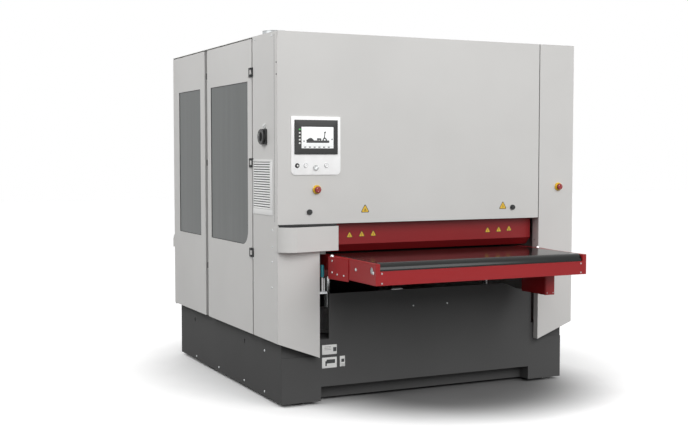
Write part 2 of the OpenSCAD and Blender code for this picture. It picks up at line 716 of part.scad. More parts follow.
// Extraction: a flat duct under the roof, a downcomer behind each unit, a spigot through the roof
duct_z0 = roof_z - post_w + 3 * sheet_t;
duct_z1 = roof_z - 2 * sheet_t;
duct_d = 65;
duct_gap = 15;
duct_half = 150;
duct_x1 = wall_x - motor_l - motor_hood - seam;
spigot_x_shares = [0.7686, 0.4647];
spigot_places = [for (i = [0, 1]) [-hw * spigot_x_shares[i], unit_ys[i]]];
module duct_body(i, g) {
    p = spigot_places[i];
    y0 = unit_ys[i] + contact_rs[i] + duct_gap;
    xl = min(p[0] - spigot_r, -grit_w / 2 + lip_d) - 2 * duct_t;
    block(xl + g, duct_x1 - g, unit_ys[i] - duct_half + g, y0 + duct_d - g, duct_z0 + g, duct_z1 - g);
    block(-grit_w / 2 + lip_d + g, duct_x1 - g, y0 + g, y0 + duct_d - g,
        beam_lo(i) - contact_rs[0] - (g ? over : 0), duct_z0 + 2 * g);
    translate([p[0], p[1], duct_z1 - 2 * duct_t])
        cylinder(h = housing_h + 2 * duct_t - duct_z1 + 2 * duct_t, r = spigot_r - duct_t / 2 - g, $fn = 72);
    translate([p[0], p[1], housing_h + duct_t / 2])
        cylinder(h = spigot_h - duct_t / 2 + (g ? over : 0), r = spigot_r - g, $fn = 72);
}
module extraction_ducts() color("#a9abad") placed()
    for (i = [0, 1]) difference() {
        duct_body(i, 0);
        duct_body(i, duct_t);
    }

// Height sensor in the left gap: bracket, measuring rod, teal cylinder, limit switch of the bar
sensor_x = -gap_x + 0.15 * column_w;
sensor_y = lip_d;
sensor_z = apron_z + 4 / 3 * seam;
sensor_plate_h = 14;
module height_sensor() color("#4fa3a0") placed() {
    rod_z = sensor_z + sensor_plate_h;
    tube_z = rod_z + front_beam_h + seam;
    tube_x = -gap_x + 2 * sensor_plate_h;
    block(-gap_x, sensor_x + sensor_plate_h, sensor_y - sensor_plate_h, sensor_y + sensor_plate_h, sensor_z, rod_z);
    translate([sensor_x, sensor_y, rod_z - over]) cylinder(h = front_beam_h, r = sensor_plate_h * 0.3);
    translate([tube_x, sensor_y, rod_z - over]) cylinder(h = tube_z - rod_z + 2 * over, r = sensor_plate_h * 0.4);
    translate([tube_x, sensor_y, tube_z]) cylinder(h = front_beam_h * 0.92, r = sensor_plate_h * 0.8);
    block(-gap_x, -gap_x + lip_d * 1.8, sensor_y - sensor_plate_h, sensor_y + sensor_plate_h,
        bar_bevel_z - 2 * lip_d, bar_bevel_z - lip_d);
}

// Box of the compressed air service at the rear, with its drain
service_w = 111;
service_d = 153;
service_z = 822;
service_h = 115;
module service_box() color("#c9c8c5") placed() {
    x0 = rear_x0 + seam;
    translate([0, housing_d, service_z]) across(x0, x0 + service_w)
        polygon([[0, 0], [service_d, 0], [service_d, service_h * 0.55], [service_d * 0.8, service_h * 0.85],
            [service_d * 0.45, service_h], [0, service_h]]);
    translate([x0 + service_w / 2, housing_d + service_d * 0.4, service_z - service_h / 2])
        cylinder(h = service_h / 2, r = seam * 0.9);
}

// Round-head screws of the panels
screw_r = 5.5;
screw_h = 4;
high_shares = [[0.9166, 0.9903], [0.2154, 0.9903]];
low_shares = [[0.2129, 0.9696], [0.2154, 0.8774], [0.2179, 0.796], [0.2229, 0.6574], [0.9967, 0.7943], [0.9967, 0.6574]];
base_shares = [[0.1592, 0.769], [0.1606, 0.124], [0.3341, 0.1315], [0.5769, 0.124], [0.8164, 0.114]];
apron_screw_shares = [[0.3956, 0.842], [0.562, 0.843]];
module screw_head() {
    cylinder(h = screw_h / 2, r = screw_r);
    translate([0, 0, screw_h / 2]) cylinder(h = screw_h / 2, r1 = screw_r, r2 = screw_r * 0.7);
}
module panel_screws() color("#9c9c9c") placed() {
    for (p = high_shares) translate([-hw, p[0] * (door_y0 - screw_r), p[1] * housing_h])
        rotate([0, -90, 0]) screw_head();
    for (p = low_shares) translate([-hw, p[0] * (door_y0 - screw_r), p[1] * cover_z])
        rotate([0, -90, 0]) screw_head();
    for (p = base_shares) translate([-bw, p[0] * housing_d, p[1] * skirt_z]) rotate([0, -90, 0]) screw_head();
    for (p = apron_screw_shares) translate([apron_x0 + p[0] * apron_w, sheet_y - seam, p[1] * apron_z])
        rotate([90, 0, 0]) screw_head();
}

// Emergency stops: yellow collar, red mushroom head on a stem
estop_collar_r = 1.35 * estop_r;
estop_collar_d = estop_r * 0.6;
estop_stem_r = estop_r / 2;
estop_cover_x = -hw + 0.93 * column_w;
estop_cover_z = cover_z + 10.35 * estop_r;
estop_column_x = gap_x + 0.565 * column_w;
estop_column_z = cover_z + 10.2 * estop_r;
module estop_collar(x, z) translate([x, 0, z]) rotate([90, 0, 0]) difference() {
    cylinder(h = estop_collar_d, r = estop_collar_r);
    translate([0, 0, -over]) cylinder(h = estop_collar_d + 2 * over, r = estop_stem_r + running_gap);
}
module estop_head(x, z) translate([x, -estop_collar_d, z]) rotate([90, 0, 0]) {
    translate([0, 0, -estop_collar_d * 1.2]) cylinder(h = estop_collar_d * 2, r = estop_stem_r);
    translate([0, 0, estop_travel + skin_gap]) cylinder(h = estop_r * 0.35, r = estop_r);
    translate([0, 0, estop_travel + skin_gap + estop_r * 0.35])
        cylinder(h = estop_r * 0.2, r1 = estop_r, r2 = estop_r * 0.75);
}
module estop_collar_column() color("#e8b800") placed() estop_collar(estop_column_x, estop_column_z);
module estop_head_column() color("#c4161c") placed() estop_head(estop_column_x, estop_column_z);
module estop_collar_cover() color("#e8b800") placed() estop_collar(estop_cover_x, estop_cover_z);
module estop_head_cover() color("#c4161c") placed() estop_head(estop_cover_x, estop_cover_z);

// Front cover: a pan of sheet hung on the hinge rod under the roof's front edge
hmi_x0 = -hw + hmi_in;
hmi_x1 = hmi_x0 + hmi_w;
hmi_z0 = cover_z + hmi_up;
hmi_z1 = hmi_z0 + hmi_h;
button_xs = [for (s = [0.118, 0.288, 0.71]) hmi_x0 + s * hmi_w];
button_z = hmi_z0 + 0.16 * hmi_h;
selector_x = hmi_x0 + 0.495 * hmi_w;
selector_z = hmi_z0 + 0.12 * hmi_h;
selector_r = 1.5 * button_r;
lock_xs = [-hw + 0.11 * (cover_x1 + hw), -hw + 0.89 * (cover_x1 + hw)];
lock_z = cover_z + 4.4 * lock_r;
lock_shaft_r = lock_r / 2;
module front_cover() color("#cdccc9") placed()
    difference() {
        union() {
            block(-hw, cover_x1, 0, sheet_t, cover_z, hinge_line_z - lip_d);
            block(-hw + sheet_t + skin_gap, cover_x1, 0, sheet_t, cover_z, housing_h);
            pan_front(-hw + 2 * sheet_t, cover_x1 - sheet_t, cover_z, hinge_line_z - lip_d, lip_d, sheet_t);
            for (x = cover_xs) block(x - knuckle_l / 2, x + knuckle_l / 2, sheet_t, hinge_line_y + cover_rod_r + sheet_t,
                hinge_line_z - cover_rod_r - sheet_t, hinge_line_z + cover_rod_r + sheet_t);
        }
        bar(-hw - over, hw, hinge_line_y, hinge_line_z, cover_rod_r + running_gap);
        for (x = button_xs) translate([x, over + sheet_t, button_z]) rotate([90, 0, 0])
            cylinder(h = 2 * sheet_t, r = button_r + running_gap);
        translate([selector_x, over + sheet_t, selector_z]) rotate([90, 0, 0])
            cylinder(h = 2 * sheet_t, r = selector_r * 0.6 + running_gap);
        translate([estop_cover_x, over + sheet_t, estop_cover_z]) rotate([90, 0, 0])
            cylinder(h = 2 * sheet_t, r = estop_stem_r + seam / 2);
        for (x = lock_xs) translate([x, over + sheet_t, lock_z]) rotate([90, 0, 0])
            cylinder(h = 2 * sheet_t, r = lock_shaft_r + running_gap);
    }

// Operator panel: white plate, black display frame, three buttons and a selector
module hmi_plate() color("#efefec") placed() difference() {
    rotate([90, 0, 0]) linear_extrude(height = hmi_t) {
        translate([hmi_x0, hmi_z0 + 2 * lip_d]) square([hmi_w, hmi_h - 2 * lip_d]);
        translate([hmi_x0 + 2 * lip_d, hmi_z0]) square([hmi_w - 4 * lip_d, 2 * lip_d]);
        for (x = [hmi_x0 + 2 * lip_d, hmi_x1 - 2 * lip_d]) translate([x, hmi_z0 + 2 * lip_d]) circle(r = 2 * lip_d);
    }
    for (x = button_xs) translate([x, over, button_z]) rotate([90, 0, 0])
        cylinder(h = 2 * hmi_t, r = button_r + running_gap);
    translate([selector_x, over, selector_z]) rotate([90, 0, 0]) cylinder(h = 2 * hmi_t, r = selector_r * 0.6 + running_gap);
}
bezel_x0 = hmi_x0 + (hmi_w - bezel_w) / 2;
bezel_z1 = hmi_z1 - (hmi_w - bezel_w) / 2;
module hmi_display() color("#191a1c") placed() difference() {
    block(bezel_x0, bezel_x0 + bezel_w, -2 * hmi_t, -hmi_t, bezel_z1 - bezel_h, bezel_z1);
    block(bezel_x0 + 0.155 * bezel_w, bezel_x0 + 0.9 * bezel_w, -2 * hmi_t - over, -1.7 * hmi_t,
        bezel_z1 - 0.825 * bezel_h, bezel_z1 - 0.2 * bezel_h);
}
module push_button(x) translate([x, 0, button_z]) rotate([90, 0, 0]) {
    translate([0, 0, -sheet_t]) cylinder(h = sheet_t + hmi_t + button_travel + skin_gap + button_r / 4, r = button_r);
}
module start_button() color("#3a3a3c") placed() push_button(button_xs[0]);
module reset_button() color("#8d1f22") placed() push_button(button_xs[1]);
module feed_button() color("#2f6b3c") placed() push_button(button_xs[2]);
module selector_knob() color("#9a9b9d") placed() translate([selector_x, 0, selector_z]) rotate([90, 0, 0]) {
    translate([0, 0, -sheet_t]) cylinder(h = sheet_t + hmi_t + skin_gap + over, r = selector_r * 0.6);
    translate([0, 0, hmi_t + skin_gap]) cylinder(h = selector_r / 2, r = selector_r);
    translate([-selector_r * 0.9, -selector_r / 5, hmi_t + skin_gap + selector_r / 2 - over])
        cube([selector_r * 1.8, selector_r * 2 / 5, selector_r / 2 + over]);
}

// Quarter-turn locks: head with a slot bar, shaft through the cover, cam behind it
module cover_lock(x) translate([x, 0, lock_z]) rotate([90, 0, 0]) {
    translate([0, 0, -2 * lip_d / 2]) cylinder(h = lip_d + skin_gap + over, r = lock_shaft_r);
    translate([0, 0, skin_gap]) cylinder(h = lock_r * 0.6, r = lock_r);
    translate([-lock_r * 0.8, -lock_r / 5, lock_r * 0.6 - over]) cube([lock_r * 1.6, lock_r * 2 / 5, lock_r * 0.4 + over]);
    translate([-lock_shaft_r, -lock_shaft_r, -lip_d]) cube([lock_shaft_r * 4, 2 * lock_shaft_r, lip_d / 4]);
}
module lock_left() color("#161618") placed() cover_lock(lock_xs[0]);
module lock_right() color("#161618") placed() cover_lock(lock_xs[1]);

// Side doors: sheet pans with window openings; hinge leaves belong to the front door
door_z1 = roof_z - seam - skin_gap;
module window_cut(wy, wz, r) {
    if (r > 0) {
        block(-hw - over, -hw + lip_d + over, wy[0] + r, wy[1], wz[0], wz[1]);
        block(-hw - over, -hw + lip_d + over, wy[0], wy[0] + 2 * r, wz[0] + r, wz[1]);
        bar(-hw - over, -hw + lip_d + over, wy[0] + r, wz[0] + r, r);
    } else
        block(-hw - over, -hw + lip_d + over, wy[0], wy[1], wz[0], wz[1]);
}
module front_door() color("#bdbcba") placed() {
    difference() {
        pan_side(front_door_y0, front_door_y1, skirt_z, door_z1, lip_d, sheet_t);
        window_cut(front_window_y, front_window_z, window_r);
    }
    for (z = hinge_zs) difference() {
        union() {
            block(-hw - 2 * hinge_pin_r, -hw, front_door_y0 + running_gap, front_door_y0 + hinge_leaf,
                z - hinge_h / 2, z + hinge_h / 2);
            translate([door_axis_x, door_axis_y, z - hinge_h / 4]) cylinder(h = hinge_h / 2, r = 2 * hinge_pin_r);
            block(door_axis_x, -hw, door_axis_y + hinge_pin_r * 1.5, front_door_y0 + hinge_pin_r, z - hinge_h / 4, z + hinge_h / 4);
        }
        translate([door_axis_x, door_axis_y, z - hinge_h]) cylinder(h = 2 * hinge_h, r = hinge_pin_r + running_gap);
    }
}
module pane(wy, wz) {
    e = lip_d * 0.8;
    block(-hw + sheet_t, -hw + sheet_t + pane_t, wy[0] - e, wy[1] + e, wz[0] - e, wz[1] + e);
}
module front_door_pane() color("#8e9292", 0.6) placed() pane(front_window_y, front_window_z);
module rear_door() color("#bdbcba") placed() {
    difference() {
        union() {
            pan_side(rear_door_y0, housing_d, skirt_z, door_z1, lip_d, sheet_t);
            for (z = [skirt_z, door_z1 - lip_d])
                block(-hw + sheet_t, -hw + lip_d, housing_d - lip_d, housing_d - sheet_t, z, z + lip_d);
        }
        window_cut(rear_window_y, rear_window_z, 0);
        intersection() {
            difference() {
                block(pivot_x, hw, pivot_y - lip_d * 2, housing_d + over, 0, housing_h);
                translate([pivot_x, pivot_y, 0]) cylinder(h = housing_h, r = (rear_x0 - pivot_x) * 0.72);
            }
            block(-hw + sheet_t + lip_d, hw, 0, housing_d * 2, 0, housing_h);
        }
    }
    for (s = [0, 1]) translate([pivot_x, pivot_y, s ? door_z1 - lip_d / 2 : skirt_z - seam + sheet_t / 3])
        cylinder(h = s ? lip_d / 2 + seam - running_gap : seam + lip_d / 2, r = hinge_pin_r);
}
module rear_door_pane() color("#8e9292", 0.6) placed() pane(rear_window_y, rear_window_z);

// Table: side plates and front beam around the nose, long beams, cross members on the spindles
module table_frame() color("#9b3236") placed() difference() {
    union() {
        both() {
            block(beam_inner_x, table_w / 2, table_y0, flare_y, side_z0, beam_z1);
            block(beam_inner_x, table_w / 2, flare_y, flare_y + flare_l, beam_z0, beam_z1);
            block(beam_inner_x, table_beam_w / 2, flare_y + flare_l, table_y1, beam_z0, beam_z1);
            for (y = spindle_ys) block(beam_inner_x, table_beam_w / 2, y - cross_h / 2, y + cross_h / 2,
                cross_z0, beam_z0);
        }
        block(-table_w / 2, table_w / 2, table_y0, table_y0 + sheet_t, front_beam_z0, front_beam_z0 + front_beam_h);
        for (y = spindle_ys) block(-table_beam_w / 2, table_beam_w / 2, y - cross_h / 2, y + cross_h / 2,
            cross_z0, beam_z0 - 2 * seam);
    }
    for (y = [nose_y, drive_y]) bar(-hw, hw, y, feed_axis_z, feed_shaft_r + running_gap);
    for (x = [-1, 1], y = spindle_ys) translate([x * spindle_x, y, cross_z0 - over])
        cylinder(h = cross_h / 2 + over, r = spindle_r + running_gap);
}
module lift_spindles() color("#b5b7b9") placed()
    for (x = [-1, 1], y = spindle_ys)
        translate([x * spindle_x, y, jack_z1 - 2.2 * jack_r]) cylinder(
            h = cross_z0 + cross_h / 2 - jack_z1 + 2.2 * jack_r, r = spindle_r);

// Flared covers behind the side plates, their domed caps, and the terminal box on the right
flare_out = 0.17;
flare_l = 0.6 * side_plate_l;
cap_r = lip_d / 2;
module table_covers() color("#872629") placed() {
    both() translate([0, 0, side_z0 - 2 * seam]) linear_extrude(height = beam_z1 - side_z0 + 2 * seam)
        polygon([[table_w / 2 + skin_gap, flare_y], [table_w / 2 + skin_gap + sheet_t, flare_y],
            [table_w / 2 + sheet_t + flare_out * flare_l, flare_y + flare_l],
            [table_w / 2 + skin_gap, flare_y + flare_l],
            [table_w / 2 + skin_gap, flare_y + flare_l - sheet_t],
            [table_w / 2 + flare_out * flare_l - sheet_t, flare_y + flare_l - sheet_t]]);
    both() translate([0, 0, beam_z1 - sheet_t]) linear_extrude(height = sheet_t)
        polygon([[table_w / 2 + skin_gap, flare_y], [table_w / 2 + skin_gap + sheet_t, flare_y],
            [table_w / 2 + sheet_t + flare_out * flare_l, flare_y + flare_l],
            [table_w / 2 + skin_gap, flare_y + flare_l]]);
    both() translate([table_w / 2 + flare_out * flare_l - cap_r - sheet_t, flare_y + flare_l - sheet_t - cap_r, beam_z1])
        intersection() {
            sphere(r = cap_r);
            translate([-cap_r, -cap_r, 0]) cube([2 * cap_r, 2 * cap_r, cap_r]);
        }
    block(box_x, box_x + box_w, flare_y + flare_l - box_l - box_back, flare_y + flare_l - box_back,
        side_z0 - box_h, side_z0);
    block(box_x + box_w * 0.2, table_w / 2 - seam, flare_y - sheet_t - 3.8 * lip_d,
        flare_y - sheet_t - 2.8 * lip_d, side_z0 - seam, side_z0);
}
box_w = 69;
box_l = 260;
box_h = 153;
box_x = table_w / 2 - 122;
box_back = 42;

module bed_plate() color("#9a9c9e") placed()
    block(-beam_inner_x, beam_inner_x, nose_y + belt_r + seam, drive_y - belt_r - seam,
        table_z - feed_belt_t - skin_gap - bed_t, table_z - feed_belt_t - skin_gap);

module conveyor_belt() color("#343838") placed()
    translate([0, nose_y, feed_axis_z]) across(-feed_belt_w / 2, feed_belt_w / 2)
        loop(feed_roller_r, feed_roller_r, drive_y - nose_y, feed_belt_t, 90);

// Geared motor of the conveyor on the right end of the drive roller
gear_w = 120;
gear_motor_r = 55;
gear_motor_l = 210;
module feed_gearmotor() color("#4f5b66") placed() difference() {
    union() {
        block(table_beam_w / 2, table_beam_w / 2 + gear_w, drive_y - gear_w / 2, drive_y + gear_w * 0.4,
            feed_axis_z - gear_w / 2, feed_axis_z + belt_r);
        translate([table_beam_w / 2 + gear_w / 2, drive_y, feed_axis_z - gear_w / 2 - gear_motor_l])
            cylinder(h = gear_motor_l, r = gear_motor_r);
    }
    bar(0, table_beam_w / 2 + gear_w * 0.7, drive_y, feed_axis_z, feed_shaft_r + running_gap);
}

// Rollers of the conveyor
module feed_roller(y, x1) {
    bar(-feed_roller_l / 2, feed_roller_l / 2, y, feed_axis_z, feed_roller_r);
    bar(-table_w / 2 + seam / 3, x1, y, feed_axis_z, feed_shaft_r);
}
module nose_roller() color("#8b8d90") placed() feed_roller(nose_y, table_w / 2 - seam / 3);
module drive_roller() color("#8b8d90") placed() feed_roller(drive_y, table_beam_w / 2 + gear_w * 0.6);

// Safety bar across the work gap, hung on two pins behind its upper edge
bar_lip_z = nip_z - over;
module safety_bar() color("#7d2d30") placed() difference() {
    union() {
        across(-bar_x, bar_x) polygon([[bar_y, bar_axis_z + 2.5 * seam], [bar_y, bar_bevel_z],
            [bar_y + 2 * lip_d, bar_lip_z], [bar_y + 2.6 * lip_d, bar_lip_z],
            [bar_y + 2.6 * lip_d, bar_lip_z + bar_t], [bar_y + 2 * lip_d + bar_t / 2, bar_lip_z + bar_t],
            [bar_y + bar_t, bar_bevel_z + bar_t / 2], [bar_y + bar_t, bar_axis_z + 2.5 * seam]]);
        both() block(hanger_x - 3.5 * seam, hanger_x - 1.5 * seam, bar_y + bar_t, bar_axis_y + 2 * seam,
            bar_axis_z - 2 * seam, bar_axis_z + 2 * seam);
    }
    bar(-bar_x, bar_x, bar_axis_y, bar_axis_z, bar_pin_r + running_gap);
}

// Contact rollers: body, shaft through both plates, pulley outside the carrying wall
module contact_roller(i) {
    bar(-roller_w / 2, roller_w / 2, unit_ys[i], contact_z(i), contact_rs[i]);
    bar(-plate_x - plate_t - seam, drive_end_x, unit_ys[i], contact_z(i), shaft_r);
    bar(pulley_x - pulley_w / 2 + seam / 2, pulley_x + pulley_w / 2, unit_ys[i], contact_z(i), driven_pulley_rs[i]);
}
module contact_roller_front() color("#30343a") placed() contact_roller(0);
module contact_roller_rear() color("#30343a") placed() contact_roller(1);
module tension_roller(i) {
    bar(-roller_w / 2, roller_w / 2, unit_ys[i], tension_z(i), tension_r);
    bar(-plate_x - plate_t, plate_x + plate_t, unit_ys[i], tension_z(i), tension_shaft_r);
}
module tension_roller_front() color("#9d9fa2") placed() tension_roller(0);
module tension_roller_rear() color("#9d9fa2") placed() tension_roller(1);

// Yoke that carries the tension roller and is guided in the unit's beam
module tension_yoke(i) {
    y = unit_ys[i];
    difference() {
        union() {
            block(-plate_x - plate_t, plate_x + plate_t, y - yoke_d / 2, y + yoke_d / 2, yoke_z(i), yoke_z(i) + yoke_h);
            for (x = [-plate_x - plate_t, plate_x]) block(x, x + plate_t, y - yoke_d / 2, y + yoke_d / 2,
                yoke_z(i), tension_z(i) + tension_shaft_r * 1.4);
            for (x = [-1, 1]) translate([x * plate_x * 0.7, y, beam_hi(i) - 3 * guide_r])
                cylinder(h = yoke_z(i) - beam_hi(i) + 3 * guide_r + over, r = guide_r);
        }
        bar(-hw, hw, y, tension_z(i), tension_shaft_r + running_gap);
    }
}
module tension_yoke_front() color("#5f6163") placed() tension_yoke(0);
module tension_yoke_rear() color("#5f6163") placed() tension_yoke(1);

module motor_pulley(i) {
    p = motor_places[i];
    bar(wall_x - motor_l * 0.25, pulley_x + pulley_w / 2 + seam, p[0], p[1], motor_shaft_r);
    bar(pulley_x - pulley_w / 2 + seam / 2, pulley_x + pulley_w / 2, p[0], p[1], motor_pulley_rs[i]);
}
module motor_pulley_front() color("#55585b") placed() motor_pulley(0);
module motor_pulley_rear() color("#55585b") placed() motor_pulley(1);

module pressure_roller(i) {
    bar(-roller_w / 2 + seam, roller_w / 2 - seam, press_ys[i], press_z, press_r);
    bar(-plate_x - plate_t, plate_x + plate_t, press_ys[i], press_z, press_shaft_r);
}
module pressure_roller_front() color("#3b3b3d") placed() pressure_roller(0);
module pressure_roller_middle() color("#3b3b3d") placed() pressure_roller(1);
module pressure_roller_rear() color("#3b3b3d") placed() pressure_roller(2);

base_frame();
levelling_feet();
base_apron();
upper_frame();
column_covers();
side_panels();
roof_rear_panels();
hinge_fittings();
vent_grille();
main_switch_body();
main_switch_knob();
electrical_plate();
jack_housings();
unit_beams();
pressure_beams();
abrasive_belts();
main_motors();
v_belts();
extraction_ducts();
height_sensor();
service_box();
panel_screws();
estop_collar_column();
estop_head_column();
front_cover();
hmi_plate();
hmi_display();
start_button();
reset_button();
feed_button();
selector_knob();
estop_collar_cover();
estop_head_cover();
lock_left();
lock_right();
front_door();
front_door_pane();
rear_door();
rear_door_pane();
table_frame();
table_covers();
bed_plate();
conveyor_belt();
lift_spindles();
feed_gearmotor();
nose_roller();
drive_roller();
safety_bar();
contact_roller_front();
contact_roller_rear();
tension_roller_front();
tension_roller_rear();
tension_yoke_front();
tension_yoke_rear();
motor_pulley_front();
motor_pulley_rear();
pressure_roller_front();
pressure_roller_middle();
pressure_roller_rear();
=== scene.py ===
"""Dresses a wide-belt sander for wood: powder-coated sheet, rubber conveyor, operator panel,
screws, bolts, plates, louvres and the studio round it."""

from math import atan2, cos, pi, radians, sin

import bmesh
import bpy
from bmesh.types import BMEdge, BMFace, BMVert
from mathutils import Matrix, Vector


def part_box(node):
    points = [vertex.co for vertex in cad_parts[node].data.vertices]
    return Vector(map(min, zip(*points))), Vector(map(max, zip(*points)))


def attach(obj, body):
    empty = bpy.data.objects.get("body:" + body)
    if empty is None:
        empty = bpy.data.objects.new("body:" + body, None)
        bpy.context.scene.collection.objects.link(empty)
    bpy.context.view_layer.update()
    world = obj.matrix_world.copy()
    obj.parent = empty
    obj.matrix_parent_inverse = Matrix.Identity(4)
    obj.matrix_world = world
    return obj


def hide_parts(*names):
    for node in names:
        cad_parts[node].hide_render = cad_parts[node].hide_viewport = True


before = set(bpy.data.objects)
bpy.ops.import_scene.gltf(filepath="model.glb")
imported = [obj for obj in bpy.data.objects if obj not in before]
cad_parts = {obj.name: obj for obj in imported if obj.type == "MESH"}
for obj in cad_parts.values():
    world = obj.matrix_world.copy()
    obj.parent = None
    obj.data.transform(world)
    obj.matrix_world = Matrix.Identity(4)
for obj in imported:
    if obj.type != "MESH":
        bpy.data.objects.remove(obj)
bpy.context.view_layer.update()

bl_info = {
    "name": "Wide-belt sander",
    "version": (1, 0, 0),
    "blender": (4, 5, 0),
    "location": "3D View > Sidebar > Sander",
    "description": "Builds the visible finish of a wide-belt sander on its construction model",
    "category": "Object",
}

MM = 0.001
# Points closer than this are one
SAME = 1e-7
# Middle of the machine along the feed, measured from the plane of the front cover
MID_Y = 921 * MM

# Turns that lay a piece drawn in X and Y, facing +Z, on a face of the machine
FACE_FRONT = Matrix(((1, 0, 0, 0), (0, 0, -1, 0), (0, 1, 0, 0), (0, 0, 0, 1)))
FACE_LEFT = Matrix(((0, 0, -1, 0), (-1, 0, 0, 0), (0, 1, 0, 0), (0, 0, 0, 1)))
FACE_RIGHT = Matrix(((0, 0, 1, 0), (1, 0, 0, 0), (0, 1, 0, 0), (0, 0, 0, 1)))
FACE_BACK = Matrix(((-1, 0, 0, 0), (0, 0, 1, 0), (0, 1, 0, 0), (0, 0, 0, 1)))
FACE_UP = Matrix.Identity(4)


def at(x, y, z, face=FACE_UP, turn=0.0):
    """Place on the machine: millimetres from the middle plane, the front cover and the floor."""
    return Matrix.Translation((x * MM, y * MM - MID_Y, z * MM)) @ face @ Matrix.Rotation(turn, 4, "Z")


def front(x, y, z, turn=0.0):
    return at(x, y, z, FACE_FRONT, turn)


def left(x, y, z):
    return at(x, y, z, FACE_LEFT)


def off(place, x, y=0.0, z=0.0):
    """A place moved along its own axes."""
    return place @ Matrix.Translation((x * MM, y * MM, z * MM))


# Colours


def linear(code, alpha=1.0):
    """sRGB hex to linear colour."""
    out = []
    for i in (1, 3, 5):
        c = int(code[i : i + 2], 16) / 255
        out.append(c / 12.92 if c <= 0.04045 else ((c + 0.055) / 1.055) ** 2.4)
    return (*out, alpha)


# Materials


def fit(tree, node, links=None, **settings):
    """Sets and links a node. Settings named in_NAME set a socket, the others set the node itself."""
    for key, value in settings.items():
        if key.startswith("in_"):
            node.inputs[key[3:].replace("_", " ")].default_value = value
        else:
            setattr(node, key, value)
    for socket, source in (links or {}).items():
        tree.links.new(source, node.inputs[socket])
    return node


def add(tree, kind, links=None, **settings):
    """Adds a node, set and linked as fit does it."""
    return fit(tree, tree.nodes.new("ShaderNode" + kind), links, **settings)


def start(name):
    """New material with its tree, object coordinates and shader."""
    mat = bpy.data.materials.new(name)
    mat.use_nodes = True
    tree = mat.node_tree
    tree.nodes.clear()
    where = add(tree, "TexCoord").outputs["Object"]
    shader = add(tree, "BsdfPrincipled")
    out = add(tree, "OutputMaterial", {"Surface": shader.outputs["BSDF"]})
    return mat, tree, where, shader, out


def noise(tree, vector, scale, detail, **settings):
    """Value of a noise over the object."""
    return add(tree, "TexNoise", {"Vector": vector}, in_Scale=scale, in_Detail=detail, **settings).outputs["Fac"]


def relief(tree, level, strength, distance_mm, **links):
    """Normal of a fine relief."""
    node = add(tree, "Bump", {"Height": level, **links}, in_Strength=strength, in_Distance=distance_mm * MM)
    return node.outputs["Normal"]


def between(tree, value, low, high, **settings):
    """A value moved to lie between two others."""
    return add(tree, "MapRange", {"Value": value}, in_To_Min=low, in_To_Max=high, **settings).outputs["Result"]


def ramp(tree, fac, low, high, start_at=0.3, end_at=0.7):
    """Blend of two colours between two values of fac."""
    node = add(tree, "ValToRGB", {"Fac": fac})
    for stop, place, colour in zip(node.color_ramp.elements, (start_at, end_at), (low, high)):
        stop.position = place
        stop.color = colour
    return node.outputs["Color"]


def shade(colour, k):
    """A colour made darker or lighter by a factor."""
    return (*[min(1.0, c * k) for c in colour[:3]], 1.0)


# Radius at which coated edges catch the light, half the spread of a coat's gloss and a mould's grain
EDGE = 1.2
SPREAD = 0.05
GRAIN = 0.8


def powder_coat(name, code, roughness, grain_mm, peel_depth, low_k=0.94, gloss_level=0.3):
    """Baked polyester powder on sheet steel: fine orange peel, broad slight mottling,
    rounded edges that catch the light."""
    mat, tree, where, shader, _ = start(name)
    colour = linear(code)
    peel = noise(tree, where, 1 / (grain_mm * MM), 2.0, in_Roughness=0.5)
    mottling = noise(tree, where, 1.6, 3.0)
    edge = add(tree, "Bevel", in_Radius=EDGE * MM, samples=3).outputs["Normal"]
    fit(tree, shader, {
        "Base Color": ramp(tree, mottling, shade(colour, low_k), colour),
        "Roughness": between(tree, peel, roughness - SPREAD, roughness + SPREAD),
        "Normal": relief(tree, peel, peel_depth, 0.3, Normal=edge),
    }, in_Specular_IOR_Level=gloss_level)
    return mat


def moulded(name, code, roughness, coat=0.0):
    """Injection-moulded plastic with a fine spark-eroded grain."""
    mat, tree, where, shader, _ = start(name)
    colour = linear(code)
    grain = add(tree, "TexVoronoi", {"Vector": where}, in_Scale=1 / (GRAIN * MM))
    fit(tree, shader, {
        "Base Color": ramp(tree, noise(tree, where, 14.0, 2.0), shade(colour, 0.93), colour, 0.35, 0.65),
        "Normal": relief(tree, grain.outputs["Distance"], 0.05, 0.1),
    }, in_Roughness=roughness, in_IOR=1.5, in_Coat_Weight=coat, in_Coat_Roughness=0.08)
    return mat


def bare_metal(name, code, roughness, along, line_mm, line_depth=0.1):
    """Ground, turned or rolled metal: fine lines along one direction of the object."""
    mat, tree, where, shader, _ = start(name)
    colour = linear(code)
    stretch = [1 / (line_mm * MM)] * 3
    stretch["xyz".index(along)] = 2.0
    drawn_out = add(tree, "Mapping", {"Vector": where}, in_Scale=stretch)
    lines = noise(tree, drawn_out.outputs["Vector"], 1.0, 3.0)
    fit(tree, shader, {
        "Base Color": ramp(tree, lines, shade(colour, 0.86), colour),
        "Roughness": between(tree, lines, max(0.03, roughness - 0.08), roughness + 0.08),
        "Normal": relief(tree, lines, line_depth, 0.05),
    }, in_Metallic=1.0)
    return mat


